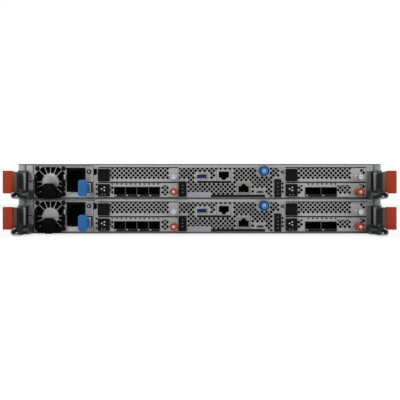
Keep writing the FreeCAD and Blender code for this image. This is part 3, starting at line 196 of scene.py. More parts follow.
def seated(obj, body, material, hides=()):
    """Give a piece its finish, fix it to a body and hide the solids that it stands for."""
    if material is not None:
        obj.data.materials.clear()
        obj.data.materials.append(material)
    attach(obj, body)
    for node in hides:
        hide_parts(node)
    return obj


def both_canisters(obj, body, material, hides=()):
    """Seat a piece on the lower canister and a copy on the upper one."""
    name = obj.name
    twin = own_copy(obj, "upper_" + name)
    twin.data.transform(Matrix.Translation((0, 0, RISE)))
    obj.name = "lower_" + name
    obj.data.name = obj.name
    seated(obj, "lower_" + body, material, ["lower_" + node for node in hides])
    seated(twin, "upper_" + body, material, ["upper_" + node for node in hides])


print("helpers ready")

# %% [markdown]
# ## Shader maths as plain expressions
# A finish is a small program: noise here, a mask there, mixed by numbers. Writing it with Math
# nodes by hand hides the idea, so one class wraps a node's output and lets + and * build those
# nodes. A second class owns the material and adds every other node with one method.

# %% A value that builds Math nodes, and a finish that owns them


class Value:
    """An output of a node that can be used in an expression."""

    def __init__(self, finish, socket):
        self.finish = finish
        self.socket = socket

    def maths(self, operation, other):
        """A Math node that works on a number or value and this one."""
        return self.finish.node("ShaderNodeMath", {"operation": operation}, {0: other, 1: self})

    def __add__(self, other):
        return self.maths("ADD", other)

    def __mul__(self, other):
        return self.maths("MULTIPLY", other)

    __radd__ = __add__
    __rmul__ = __mul__


class Finish:
    """A material with one Principled shader, and a method that adds any other node."""

    def __init__(self, name, **numbers):
        self.material = bpy.data.materials.new(name)
        self.material.use_nodes = True
        self.tree = self.material.node_tree
        self.shader = self.tree.nodes["Principled BSDF"]
        for key, value in numbers.items():
            socket = key.replace("_", " ").title().replace("Ior", "IOR")
            self.shader.inputs[socket].default_value = value

    def node(self, kind, settings, inputs, output=0):
        """Add a node with its settings; an input is a number, a colour or another node's value."""
        made = self.tree.nodes.new(kind)
        for key, value in settings.items():
            setattr(made, key, value)
        for key, value in inputs.items():
            if isinstance(value, Value):
                self.tree.links.new(value.socket, made.inputs[key])
            else:
                made.inputs[key].default_value = value
        return Value(self, made.outputs[output])

    def place(self):
        """The place on the object, so that a pattern keeps its size on every piece."""
        return self.node("ShaderNodeTexCoord", {}, {}, "Object")

    def stretched(self, scale):
        """The place with another scale along each axis."""
        return self.node("ShaderNodeMapping", {}, {"Vector": self.place(), "Scale": scale})

    def noise(self, scale, detail, vector=None):
        """Soft random grain between 0 and 1."""
        inputs = {"Vector": vector or self.place(), "Scale": scale, "Detail": detail}
        return self.node("ShaderNodeTexNoise", {}, inputs, "Fac")

    def mixed(self, factor, first, second):
        """A colour between two. Inputs 6 and 7 of the node are colours, and so is its output 2."""
        inputs = {"Factor": factor, 6: first, 7: second}
        return self.node("ShaderNodeMix", {"data_type": "RGBA"}, inputs, 2)

    def drive(self, name, value):
        """Send a value to an input of the main shader."""
        self.tree.links.new(value.socket, self.shader.inputs[name])

    def bump(self, height, strength, distance):
        """Make the surface look uneven by a height."""
        inputs = {"Height": height, "Strength": strength, "Distance": distance}
        self.drive("Normal", self.node("ShaderNodeBump", {}, inputs))


def rgba(red, green, blue):
    """A colour with nothing see-through."""
    return (red, green, blue, 1.0)


def shades(colour, low, high):
    """A darker and a lighter shade of one colour."""
    return [rgba(*(share * part for part in colour)) for share in (low, high)]


print("shader classes ready")

# %% [markdown]
# ## The finishes
# Most of the enclosure is zinc-plated sheet steel: a satin grey with a faint cloudy spangle, fine
# rolling lines and small rubbed patches. The latches are a darker plated steel. The touch points
# are moulded plastic, orange or blue, with the fine grain that spark erosion leaves in a mould.

# %% Sheet steel finishes


def sheet_steel(name, colour, metallic=0.55, roughness=0.42, lines=(1.0, 1.0, 14.0)):
    """Plated sheet with cloudy spangle, rolling lines and rubbed patches."""
    finish = Finish(name, metallic=metallic)
    spangle = finish.node("ShaderNodeTexVoronoi", {"feature": "F1"},
                          {"Vector": finish.place(), "Scale": 260.0}, "Color")
    flake = finish.node("ShaderNodeSeparateColor", {}, {"Color": spangle}, 0)
    cloud = finish.noise(38.0, 4.0)
    rolled = finish.noise(420.0, 2.0, finish.stretched(lines))
    rub = finish.noise(9.0, 5.0)
    tone = 0.60 * cloud + 0.22 * flake + 0.28 * rolled
    finish.drive("Base Color", finish.mixed(tone, *shades(colour, 0.735, 1.065)))
    finish.drive("Roughness", roughness - 0.10 + 0.10 * rolled + 0.14 * rub)
    finish.bump(0.7 * rolled + 0.3 * cloud, 0.06, 0.0004)
    return finish.material


ZINC = sheet_steel("zinc_sheet", (0.26, 0.26, 0.265))
SHELL_STEEL = sheet_steel("shell_sheet", (0.19, 0.192, 0.192))
# Painted highlight: a lighter sheet for the cover lips and the jack brow, where edges catch light.
LIP_HIGHLIGHT = sheet_steel("painted_lip_highlight", (0.34, 0.34, 0.345), roughness=0.5)
CARD_STEEL = sheet_steel("card_sheet", (0.31, 0.31, 0.31))
PSU_STEEL = sheet_steel("supply_sheet", (0.265, 0.27, 0.27))
CAGE_STEEL = sheet_steel("socket_sheet", (0.13, 0.13, 0.125), metallic=0.8, roughness=0.36)
LATCH_STEEL = sheet_steel("latch_sheet", (0.145, 0.168, 0.174), metallic=0.6, roughness=0.36,
                          lines=(1.0, 14.0, 1.0))
HANDLE_STEEL = sheet_steel("handle_sheet", (0.045, 0.052, 0.053), metallic=0.5)
SHELF_STEEL = sheet_steel("shelf_sheet", (0.125, 0.126, 0.128), metallic=0.4)
# Painted reflection: the orange grip's warm glint on the lever's steel cheek.
GRIP_REFLECTION = sheet_steel("painted_grip_reflection", (0.21, 0.13, 0.10), metallic=0.4)
BRIGHT_STEEL = sheet_steel("bright_plate", (0.50, 0.51, 0.51), metallic=0.85, roughness=0.28)
# Dark edges and a ring, and painted shade in the gaps at the end flanges and above the supply.
DARK_EDGE_AND_SHADE = sheet_steel("dark_edge_and_painted_shade", (0.055, 0.056, 0.058), metallic=0.3, roughness=0.6)
# Painted shade: a near-black sheet for inner faces that light hardly reaches.
INNER_SHADE = sheet_steel("painted_inner_shade", (0.012, 0.012, 0.013), metallic=0.2, roughness=0.7)
print("steel finishes ready")

# %% Moulded plastic finishes


def moulded(name, colour, roughness=0.45, grain=0.05, shine=0.25):
    """Moulded plastic with eroded mould grain and slight wear in gloss."""
    finish = Finish(name, specular_ior_level=shine)
    grit = finish.noise(2600.0, 2.0)
    drift = finish.noise(30.0, 3.0)
    finish.drive("Base Color", finish.mixed(drift, *shades(colour, 0.86, 1.10)))
    finish.drive("Roughness", roughness - 0.06 + 0.12 * drift)
    finish.bump(grit, grain, 0.0002)
    return finish.material


BLACK = moulded("black_plastic", (0.0032, 0.0037, 0.0041), 0.5, shine=0.06)
# Black plastic, and also painted shade inside sockets, the supply, a recess, holes and slots.
BLACK_AND_SHADE = moulded("deep_black_and_painted_shade", (0.0012, 0.0012, 0.0014), 0.6, shine=0.02)
BAIL_BLACK = moulded("bail_black", (0.0011, 0.0013, 0.0017), 0.45, shine=0.03)
ORANGE = moulded("orange_ring", (0.33, 0.036, 0.0095), 0.5, shine=0.18)
GRIP_ORANGE = moulded("orange_touch_point", (0.25, 0.026, 0.0055), 0.5, shine=0.14)
BLUE = moulded("blue_knob", (0.027, 0.135, 0.37), 0.42)
TAB_BLUE = moulded("blue_touch_point", (0.015, 0.095, 0.27), 0.42, shine=0.15)
USB_BLUE = moulded("blue_tongue", (0.006, 0.012, 0.080), 0.4, shine=0.1)
PALE = moulded("pale_plastic", (0.17, 0.165, 0.15), 0.5)
PAPER = moulded("bare_label", (0.235, 0.235, 0.255), 0.55, 0.02)
# Charcoal for the drives, also used as painted shade on the latch levers.
CHARCOAL_AND_SHADE = moulded("drive_charcoal", (0.022, 0.023, 0.025), 0.48)
LIGHT_PIPE = moulded("light_window", (0.55, 0.57, 0.56), 0.35, 0.0)
DIM_PIPE = moulded("unlit_window", (0.075, 0.078, 0.074), 0.4, 0.0)
DARK_PRINT = moulded("dark_strip", (0.008, 0.0082, 0.009), 0.55, 0.02, 0.04)
print("plastic finishes ready")

# %% Circuit board and contacts


def circuit_board():
    """Green solder mask over faint traces, darkened as painted shade for the boards inside."""
    finish = Finish("circuit_board", coat_weight=0.3)
    inputs = {"Vector": finish.place(), "Scale": 90.0, "Mortar Size": 0.02}
    trace = finish.node("ShaderNodeTexBrick", {}, inputs, "Fac")
    mask = finish.noise(120.0, 2.0)
    between = rgba(0.003, 0.016, 0.009)
    over = rgba(0.005, 0.026, 0.014)
    finish.drive("Base Color", finish.mixed(trace, between, over))
    finish.drive("Roughness", 0.30 + 0.15 * mask)
    finish.bump(trace, 0.1, 0.0001)
    return finish.material


BOARD = circuit_board()
GOLD = sheet_steel("gold_contact", (0.62, 0.42, 0.14), metallic=0.95, roughness=0.28)
print("board finishes ready")

# %% [markdown]
# ## Dressing the construction solids
# The frame's solids have razor edges, and real sheet metal never does: a punched or folded edge is
# a little round and catches the light. Each visible solid is copied, its loose triangles are
# merged, flat areas are made single faces again, and a narrow bevel is applied. The copy then
# stands for the solid.

# %% A bevelled copy of a solid


def clean_copy(node, whole=True):
    """A copy of a solid with welded corners and, unless told not to, flat areas made whole."""
    obj = own_copy(frame["nodes"][node], "dress_" + node)
    obj.parent = None
    for key in list(obj.keys()):
        del obj[key]
    only(obj)
    bpy.ops.object.mode_set(mode="EDIT")
    bpy.ops.mesh.select_all(action="SELECT")
    bpy.ops.mesh.remove_doubles(threshold=0.000005)
    if whole:
        bpy.ops.mesh.dissolve_limited(angle_limit=math.radians(1.0))
    bpy.ops.object.mode_set(mode="OBJECT")
    return obj


def finishes_by_place(obj, node, rules, rest):
    """Give each face the first finish whose rule holds for its middle, or else the rest."""
    obj.data.materials.clear()
    for material, _ in rules:
        obj.data.materials.append(material)
    obj.data.materials.append(rest)
    unit = node.split("_")[0]
    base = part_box(unit + "_tray")[0].z if unit in ("lower", "upper") else 0.0
    for polygon in obj.data.polygons:
        x = polygon.center.x / MM
        y = (polygon.center.y - FACE_Y) / MM
        z = (polygon.center.z - base) / MM
        held = [index for index, (_, rule) in enumerate(rules) if rule(x, y, z)]
        polygon.material_index = held[0] if held else len(rules)


def dressed(node, material, width, rules=(), segments=2, whole=True):
    """Stand a bevelled copy in for a solid, with other finishes where the rules hold."""
    obj = clean_copy(node, whole)
    bevelled(obj, width, segments, 40.0)
    smoothed(obj, 40.0)
    finishes_by_place(obj, node, rules, material)
    record = frame["record"]
    body = next(name for name, nodes in record["behaviour"]["bodies"].items() if node in nodes)
    seated(obj, body, None, [node])


PLACES = ("lower", "upper")
SHEARED_Y = 0.2          # a sheet's cut front edge lies in front of this
LIP_Y = 0.3              # the front face of a cover's folded lip, with its rounded edge
TRAY_WALL_X = 214.3      # the tray's side walls stand outside this
COVER_UNDER_Z = 40.9     # the cover's underside lies below this
SUPPLY_X0, SUPPLY_X1 = -205.1, -131.7
SUPPLY_Z0, SUPPLY_Z1 = 1.2, 39.5
SUPPLY_BACK_Y = 180.0
HANDLE_END_Y = -58.6     # a handle's foremost faces lie in front of this
dressed("rack_ears", SHELL_STEEL, 0.3)
dressed("canister_shelf", SHELF_STEEL, 0.2)
dressed("chassis_shell", SHELL_STEEL, 0.3)
# The cover's front edge is painted dark.
dressed("chassis_cover", SHELL_STEEL, 0.3, [(DARK_EDGE_AND_SHADE, lambda x, y, z: y < SHEARED_Y)])
for place in PLACES:
    # The tray's inside faces get painted shade.
    dressed(f"{place}_tray", ZINC, 0.2, [
        (INNER_SHADE, lambda x, y, z: y > 0.9 and z > 0.1 and abs(x) < TRAY_WALL_X),
    ])
    # The lip's front gets the painted highlight, and the cover's underside gets painted shade.
    dressed(f"{place}_cover", ZINC, 0.2, [
        (LIP_HIGHLIGHT, lambda x, y, z: y < LIP_Y),
        (INNER_SHADE, lambda x, y, z: z < COVER_UNDER_Z),
    ])
    # The faces inside the supply case are painted black as shade seen through the guard.
    dressed(f"{place}_psu_case", PSU_STEEL, 0.12, [
        (BLACK_AND_SHADE, lambda x, y, z: (SUPPLY_X0 < x < SUPPLY_X1 and 1.0 < y < SUPPLY_BACK_Y
                                      and SUPPLY_Z0 < z < SUPPLY_Z1)),
    ], segments=1)
    dressed(f"{place}_psu_bail", BAIL_BLACK, 0.9, segments=3)
    dressed(f"{place}_psu_tab", TAB_BLUE, 0.7, segments=3)
    dressed(f"{place}_latch_brackets", HANDLE_STEEL, 0.3)
    for side in ("left", "right"):
        dressed(f"{place}_handle_{side}", HANDLE_STEEL, 0.2, [
            (PSU_STEEL, lambda x, y, z: y < HANDLE_END_Y),
        ])
print("solids dressed")

# %% [markdown]
# ## Finishes for the solids that stay as they are
# Pieces inside, and dark ones that are seen deep in an opening, keep their solids and get a finish.

# %% Paint the inner solids


def painted(node, material):
    """Give a solid of the frame its finish."""
    slots = frame["nodes"][node].data.materials
    slots.clear()
    slots.append(material)


for place in PLACES:
    painted(f"{place}_controller_board", BOARD)
    painted(f"{place}_fan_bank", BLACK)
    painted(f"{place}_psu_fan", BLACK)
    painted(f"{place}_psu_inlet", BLACK_AND_SHADE)
painted("midplane", BOARD)
painted("drive_cage", ZINC)
print("inner solids painted")

# %% [markdown]
# ## The orange locking tabs
# A locking tab is a dark steel lever with an orange grip moulded on its end. Its solid is one
# piece, so the copy takes two finishes: what lies beyond the end of the lever is orange, the rest
# is steel. The grip's edges are rounded more than the steel, as a moulded part's are. Thin plates
# then add the lever's folded skirt, a painted reflection of the grip on the lever's cheek, painted
# shade on the cheek and on the web behind it, and the bracket's cap and foot.

# %% Lever and grip

GRIP_BACK = 41.9
SIDES = {"left": -1, "right": 1}


def side_block(side, label, near, far, y0, y1, z0, z1):
    """A block given from the middle of the enclosure outwards, on either side."""
    x0, x1 = sorted((SIDES[side] * near, SIDES[side] * far))
    return block(f"{label}_{side}", x0, x1, y0, y1, z0, z1)


for place in PLACES:
    for side in SIDES:
        dressed(f"{place}_latch_tab_{side}", LATCH_STEEL, 0.5, [
            (GRIP_ORANGE, lambda x, y, z: y < -GRIP_BACK),
        ], segments=3)
for side in SIDES:
    tab = f"latch_tab_{side}"
    grip = side_block(side, "grip_sleeve", 219.2, 230.5, -50.15, -41.85, 5.4, 32.1)
    both_canisters(smoothed(bevelled(grip, 1.0, 3), 40), tab, GRIP_ORANGE)
    skirt = side_block(side, "lever_skirt", 219.6, 220.9, -42.5, -12.0, 6.7, 10.2)
    both_canisters(bevelled(skirt, 0.25), tab, HANDLE_STEEL)
    # A painted reflection of the grip on the lever's cheek.
    sheen = side_block(side, "lever_sheen", 219.5, 219.7, -42.0, -28.8, 7.2, 31.3)
    both_canisters(sheen, tab, GRIP_REFLECTION)
    # Painted shade on the lever's cheek and on the web behind it.
    cheek_shade = side_block(side, "lever_cheek_shade", 219.45, 219.65, -26.6, -13.6, 11.3, 30.0)
    both_canisters(bevelled(cheek_shade, 0.08, 1), tab, CHARCOAL_AND_SHADE)
    shade = side_block(side, "web_shade", 216.9, 219.5, -12.85, -12.6, 11.3, 30.0)
    both_canisters(shade, tab, CHARCOAL_AND_SHADE)
    cap = side_block(side, "bracket_cap", 211.9, 221.6, -15.1, -0.35, 33.1, 34.1)
    both_canisters(smoothed(bevelled(cap, 0.3)), "canister", LATCH_STEEL)
    foot = side_block(side, "bracket_foot", 205.9, 214.2, -1.9, -0.4, 6.6, 10.4)
    both_canisters(smoothed(bevelled(foot, 0.3)), "canister", HANDLE_STEEL)
print("locking tabs ready")

# %% [markdown]
# ## Perforated sheet
# The panel between the cards is punched with small squares that stand on their corners, in
# staggered rows. A real punch makes the holes in a plain sheet, and so does this: one four-sided
# prism is the punch, copies of it are joined into a tool, the tool is trimmed to the field, and a
# Boolean cut does the punching. Trimming first gives the half holes that show along a field's
# edges.

# %% The punch tool and the plate

HOLE_PITCH = 5.67
HOLE_HALF = 2.24
SHEET_T = 1.0


def punch_tool(start, field, keep_clear):
    """Staggered square prisms in line with a starting hole, trimmed to a field.

    A hole that would touch a box to keep clear is left out. One whose middle lies just above the
    field is kept, so that its lower half shows.
    """
    x0, x1, z0, z1 = field
    step = HOLE_PITCH / 2
    top = z1 + HOLE_HALF
    first = disc("punch", 0, 0, HOLE_HALF, -4, 6, sides=4)
    made = []
    for i in range(math.ceil((x0 - start[0]) / step), math.floor((x1 - start[0]) / step) + 1):
        for j in range(math.ceil((z0 - start[1]) / step), math.floor((top - start[1]) / step) + 1):
            x = start[0] + i * step
            z = start[1] + j * step
            free = all(x + HOLE_HALF < left or x - HOLE_HALF > right
                       or z + HOLE_HALF < low or z - HOLE_HALF > high
                       for left, right, low, high in keep_clear)
            if (i + j) % 2 == 0 and free:
                made.append(moved(own_copy(first, "punch_copy"), x, z))
    bpy.data.objects.remove(first)
    tool = joined("punch_tool", made)
    return cut(tool, block("field", x0, x1, -3, 5, z0, z1), "INTERSECT")


def punched_plate(name, edges, fields, windows, keep_clear=()):
    """A sheet between four edges with punched fields and larger windows, each a box in x and z."""
    plate = block(name, edges[0], edges[1], 0, SHEET_T, edges[2], edges[3])
    for start, field in fields:
        cut(plate, punch_tool(start, field, keep_clear))
    for x0, x1, z0, z1 in windows:
        cut(plate, block("window", x0, x1, -6, 8, z0, z1))
    return plate


# %% The port panel

PANEL_X0 = -26.8
PANEL_X1 = 106.4
PANEL_Z0 = 0.8
PANEL_Z1 = 38.4
USB = (-3.85, 9.65, 23.85, 30.15)
JACK_HIGH = (21.0, 38.8, 20.4, 34.6)
JACK_LOW = (45.5, 63.3, 5.2, 19.2)
MICRO = (70.1, 79.1, 6.1, 9.3)
USB_AREA = (-5.0, 10.8, 21.0, 31.0)
JACK_HIGH_AREA = (21.0, 38.8, 20.4, 34.3)
JACK_LOW_AREA = (45.5, 63.3, 5.2, 18.4)
MICRO_AREA = (69.2, 80.0, 5.2, 10.2)
LIGHT_LEFT = (-26.2, -16.0, 1.5, 20.9)
LIGHT_RIGHT = (92.0, 101.0, 1.2, 23.8)
LABEL = (-15.6, 10.6, 1.2, 6.1)
PRINT_STRIP = (-3.8, 39.4, 19.2, 21.0)
FOOT_STRIP = (13.4, 82.0, 0.8, 3.3)
BLUE_SCREW = (72.4, 86.2, 27.7, 40.4)
RING_SCREW = (99.4, 106.0, 5.0, 36.5)
UNPUNCHED = (USB_AREA, JACK_HIGH_AREA, JACK_LOW_AREA, MICRO_AREA, LIGHT_LEFT, LIGHT_RIGHT, LABEL,
             PRINT_STRIP, FOOT_STRIP, BLUE_SCREW, RING_SCREW)
PANEL_HOLE = (-22.1, 33.95)
PANEL_FIELD = (PANEL_X0 + 1.2, PANEL_X1 - 5.4, PANEL_Z0 + 0.8, PANEL_Z1 - 0.9)
panel = punched_plate("port_panel", (PANEL_X0, PANEL_X1, PANEL_Z0, PANEL_Z1),
                      [(PANEL_HOLE, PANEL_FIELD)], [USB, JACK_HIGH, JACK_LOW, MICRO], UNPUNCHED)
both_canisters(smoothed(panel), "canister", ZINC, ["port_panel"])
print("port panel ready")

# %% [markdown]
# ## Cards
# A card is a board behind a steel bracket. The two upper cards are blanks: the bracket is punched
# all over. The lower left card carries a row of four small sockets and the lower right one two
# larger ones. Each has a black end block on the left and a captive thumbscrew on the right, so one
# function makes each of those.

# %% Thumbscrews


def ridged(knob, x, z, radius, depth):
    """Draw every other side face of a round head out a little, as a knurled rim."""
    middle = Vector((x * MM, 0, z * MM + BASE_Z))
    sides = []
    for polygon in knob.data.polygons:
        away = math.hypot(polygon.center.x - middle.x, polygon.center.z - middle.z)
        if abs(polygon.normal.y) < 0.5 and away > 0.9 * radius * MM:
            sides.append(polygon)
    sides.sort(key=lambda p: math.atan2(p.center.z - middle.z, p.center.x - middle.x))
    ridges = {polygon.index for polygon in sides[::2]}
    picked_faces(knob, lambda polygon: polygon.index in ridges)
    bpy.ops.mesh.extrude_region_shrink_fatten(TRANSFORM_OT_shrink_fatten={"value": -depth * MM})
    bpy.ops.object.mode_set(mode="OBJECT")
    return knob


def crossed(obj, x, z, half_long, half_narrow, y0, y1):
    """Cut a cross recess for a screwdriver."""
    for half_x, half_z in ((half_long, half_narrow), (half_narrow, half_long)):
        cut(obj, block_at("cross", x, z, half_x, half_z, y0, y1))


KNOB_Y = -20.0
HEAD_BACK_Y = -11.0
HEAD_R = 3.45
RIDGE = 0.35
SCREW_HIGH_Z = 25.78
SCREW_LOW_Z = 7.68
LEFT_SCREW_X = -31.65
RIGHT_SCREW_X = 195.4


def silver_screw(name, x, z):
    """A bright captive screw: knurled head, smooth neck, raised collar and a driver slot."""
    head = disc(name, x, z, HEAD_R, KNOB_Y, HEAD_BACK_Y, sides=44)
    pushed(head, 0.9, 0.7)
    cut(head, block_at("slot", x, z, 5, 0.45, KNOB_Y - 1, KNOB_Y + 1.4))
    ridged(head, x, z, HEAD_R, RIDGE)
    neck = disc(name + "_neck", x, z, 3.0, HEAD_BACK_Y - 0.2, 0.0)
    collar = bevelled(disc(name + "_collar", x, z, 3.7, -2.4, 0.0), 0.4)
    return smoothed(joined(name, [head, neck, collar]), 30)


def ring_screw(name, x, z):
    """An orange sleeve with a deep round recess in front and a foot ring behind."""
    ring = disc(name, x, z, 4.6, KNOB_Y, -1.4, sides=32)
    pushed(ring, 1.75, 3.0)
    bevelled(ring, 0.5, 3)
    foot = bevelled(disc(name + "_foot", x, z, 4.2, -1.6, 0.0, sides=32), 0.3)
    return smoothed(joined(name, [ring, foot]), 40)


def ring_core(name, x, z):
    """The steel screw seen inside the ring, with a cross recess."""
    core = disc(name, x, z, 2.3, KNOB_Y + 1.0, -1.0)
    bevelled(core, 0.5, 3)
    crossed(core, x, z, 1.4, 0.35, KNOB_Y, KNOB_Y + 2.2)
    return smoothed(core, 40)


for number, x in ((1, LEFT_SCREW_X), (3, RIGHT_SCREW_X)):
    screw = silver_screw(f"card_screw_{number}", x, SCREW_HIGH_Z)
    both_canisters(screw, f"card_{number}", BRIGHT_STEEL)
for number, x in ((2, LEFT_SCREW_X), (4, RIGHT_SCREW_X)):
    ring = ring_screw(f"card_ring_{number}", x, SCREW_LOW_Z)
    both_canisters(ring, f"card_{number}", ORANGE)
    core = ring_core(f"card_core_{number}", x, SCREW_LOW_Z)
    both_canisters(core, f"card_{number}", BRIGHT_STEEL)
print("thumbscrews ready")

# %% End blocks with their light windows

BLOCK_W = 14.8
LEFT_OVERLAP = 0.8       # a block laps over its bracket's left edge by this
RIGHT_OVERLAP = 0.4
LEFT_CARD_X0 = -125.15
LEFT_CARD_X1 = -27.05
RIGHT_CARD_X0 = 106.65
RIGHT_CARD_X1 = 205.65
HIGH_Z0 = 20.45
HIGH_Z1 = 37.35
LOW_Z0 = 1.45
LOW_Z1 = 18.7
CARDS = {
    1: (LEFT_CARD_X0, LEFT_CARD_X1, HIGH_Z0, HIGH_Z1),
    2: (LEFT_CARD_X0, LEFT_CARD_X1, LOW_Z0, LOW_Z1),
    3: (RIGHT_CARD_X0, RIGHT_CARD_X1, HIGH_Z0, HIGH_Z1),
    4: (RIGHT_CARD_X0, RIGHT_CARD_X1, LOW_Z0, LOW_Z1),
}
LIT = [(4.3, 11.4), (7.6, 13.3), (7.6, 9.6)]    # from the card's left edge, and height
UNLIT = [(4.6, 4.4), (8.4, 4.4)]


def end_block(name, x0, z0, z1):
    """A black moulded block with soft corners and a shallow thumb scoop."""
    middle = (z0 + z1) / 2 - 0.3
    x0 -= LEFT_OVERLAP if x0 < 0 else RIGHT_OVERLAP
    body = block(name, x0, x0 + BLOCK_W, -3.2, 0, middle - 7.6, middle + 7.8)
    bevelled(body, 1.1, 3)
    cut(body, block("scoop", x0 + 3.0, x0 + BLOCK_W - 3.0, -4, -2.1, middle + 3.4, middle + 5.4))
    return smoothed(body, 40)


def light_windows(name, x0, spots, radius):
    """Small round windows, given from the card's left edge and the canister's foot."""
    windows = []
    for dx, z in spots:
        window = disc("window", x0 + dx, z, radius, -3.5, -3.0, sides=16)
        windows.append(bevelled(window, 0.12))
    return smoothed(joined(name, windows), 40)


for number, (x0, _, z0, z1) in CARDS.items():
    end = end_block(f"end_block_{number}", x0, z0, z1)
    both_canisters(end, f"card_{number}", BLACK)
    if number in (2, 4):
        lit = light_windows(f"light_windows_{number}", x0, LIT, 0.85)
        both_canisters(lit, f"card_{number}", LIGHT_PIPE)
        unlit = light_windows(f"dim_windows_{number}", x0, UNLIT, 0.95)
        both_canisters(unlit, f"card_{number}", DIM_PIPE)
print("end blocks ready")

# %% Brackets and boards

BOARD_END_Y = 145.0


def card_board(name, x0, x1, z0):
    """The card's circuit board on its two runners."""
    board = block(name, x0 + 2, x1 - 2, SHEET_T, BOARD_END_Y, z0 + 1.2, z0 + 2.8)
    bevelled(board, 0.2, 1)
    left = block("runner", x0 + 2, x0 + 4, SHEET_T, BOARD_END_Y, z0, z0 + 1.25)
    right = block("runner", x1 - 4, x1 - 2, SHEET_T, BOARD_END_Y, z0, z0 + 1.25)
    return joined(name, [board, bevelled(left, 0.2), bevelled(right, 0.2)])


SMALL_X0 = -106.1
SMALL_PITCH = 14.3
SMALL_H = 10.2
SMALL_X1 = SMALL_X0 + 4 * SMALL_PITCH
LARGE_X0 = 130.4
LARGE_STEP = 19.9
LARGE_W = 19.4
LARGE_H = 9.8
LARGE_X1 = LARGE_X0 + LARGE_STEP + LARGE_W
CAGE_Z0 = 3.9
LATCH_Z0 = 1.9           # foot of the opening for the latch plates under a row of sockets
LEFT_HOLE = (-42.8, 15.7)
RIGHT_HOLE = (125.9, 15.7)
# For each card: punched fields, each with one hole's middle, and then the larger windows.
BRACKETS = {
    1: ([((-104.8, 33.95), (-110.9, -38.0, 23.2, 37.2))], []),
    3: ([((125.9, 33.95), (120.9, 187.9, 23.2, 37.2)),
         ((202.8, 31.6), (198.6, 204.9, 29.5, 36.3))], []),
    2: ([(LEFT_HOLE, (-110.9, -49.0, 16.0, 18.2)), (LEFT_HOLE, (-110.9, -107.0, 4.9, 15.2)),
         (LEFT_HOLE, (-47.9, -38.0, 3.2, 16.0))],
        [(SMALL_X0, SMALL_X1, CAGE_Z0, CAGE_Z0 + SMALL_H), (-102.6, -50.4, LATCH_Z0, CAGE_Z0 + 1)]),
    4: ([(RIGHT_HOLE, (129.2, 169.0, 16.0, 18.2)), (RIGHT_HOLE, (120.9, 128.2, 5.2, 16.0)),
         (RIGHT_HOLE, (169.9, 187.9, 5.2, 16.0)), ((202.8, 14.7), (198.6, 204.9, 2.4, 17.0))],
        [(LARGE_X0, LARGE_X1, CAGE_Z0, CAGE_Z0 + LARGE_H),
         (LARGE_X0, LARGE_X1, LATCH_Z0, CAGE_Z0 + 1)]),
}
for number, (fields, windows) in BRACKETS.items():
    card = f"card_{number}"
    bracket = punched_plate(f"bracket_{number}", CARDS[number], fields, windows)
    both_canisters(smoothed(bracket), card, CARD_STEEL, [card])
for number, (x0, x1, z0, _) in CARDS.items():
    board = card_board(f"card_board_{number}", x0, x1, z0)
    both_canisters(board, f"card_{number}", BOARD)
print("brackets and boards ready")

# %% [markdown]
# ## Sockets for plug-in transceivers
# Such a socket is a folded steel cage, open at the front, with a small latch plate under its mouth
# and painted shade: all behind its mouth is black. One cage is a block whose front is inset and
# pushed in, and a row is several of them joined.

# %% Cages, latch plates and dark linings

CAGE_RIM = 0.24
CAGE_BACK = 4            # from the bottom of the opening to the cage's far end


def socket_cage(name, x0, width, height, length):
    """One open cage with a thin rim."""
    shell = block(name, x0, x0 + width, -1.2, length, CAGE_Z0, CAGE_Z0 + height)
    return pushed(shell, CAGE_RIM, length - CAGE_BACK)


def mouth_finish(obj, material, depth=-0.5):
    """Give the front of a socket one finish and paint all behind it black, as painted shade inside.
    """
    obj.data.materials.clear()
    obj.data.materials.append(material)
    obj.data.materials.append(BLACK_AND_SHADE)
    for polygon in obj.data.polygons:
        if polygon.center.y > FACE_Y + depth * MM:
            polygon.material_index = 1
    return obj


def socket_lining(name, x0, width, height):
    """The dark inner connector with its tongue, deep in a cage."""
    lining = block(name, x0 + 0.7, x0 + width - 0.7, 9.0, 30.0,
                   CAGE_Z0 + 0.7, CAGE_Z0 + height - 0.7)
    pushed(lining, 0.8, 3.0)
    tongue = block("tongue", x0 + 2.0, x0 + width - 2.0, 8.0, 14.0,
                   CAGE_Z0 + height / 2 - 0.5, CAGE_Z0 + height / 2 + 0.5)
    return joined(name, [lining, bevelled(tongue, 0.15)])


def socket_row(name, x0, step, width, height, length, count):
    """The cages of a row, their dark linings with a dark bar below, and the latch plates."""
    cages = []
    linings = []
    latches = []
    for k in range(count):
        left = x0 + k * step
        cages.append(socket_cage("cage", left, width, height, length))
        linings.append(socket_lining("lining", left, width, height))
        latch = block("latch", left + 1.0, left + 3.4, -1.9, -0.4, CAGE_Z0 - 1.4, CAGE_Z0 + 0.3)
        latches.append(bevelled(latch, 0.3))
    bar = block(name + "_bar", x0 + 1.0, x0 + count * step - 0.6, -0.9, 2.0,
                CAGE_Z0 - 2.1, CAGE_Z0 + 0.1)
    return (smoothed(mouth_finish(joined(name + "_cages", cages), CAGE_STEEL)),
            smoothed(joined(name + "_linings", linings + [bar])),
            smoothed(joined(name + "_latches", latches)))


for name, card, row in (("small", "card_2", (SMALL_X0, SMALL_PITCH, SMALL_PITCH, SMALL_H, 48.0, 4)),
                        ("large", "card_4", (LARGE_X0, LARGE_STEP, LARGE_W, LARGE_H, 60.0, 2))):
    row_cages, row_linings, row_latches = socket_row(name, *row)
    both_canisters(row_cages, card, None)
    both_canisters(row_linings, card, BLACK_AND_SHADE)
    both_canisters(row_latches, card, PSU_STEEL)
print("sockets ready")

# %% [markdown]
# ## Ports on the panel
# Left to right: a USB socket, a high and a low network jack, a micro USB socket and the blue lock
# screw.

# %% USB and micro USB


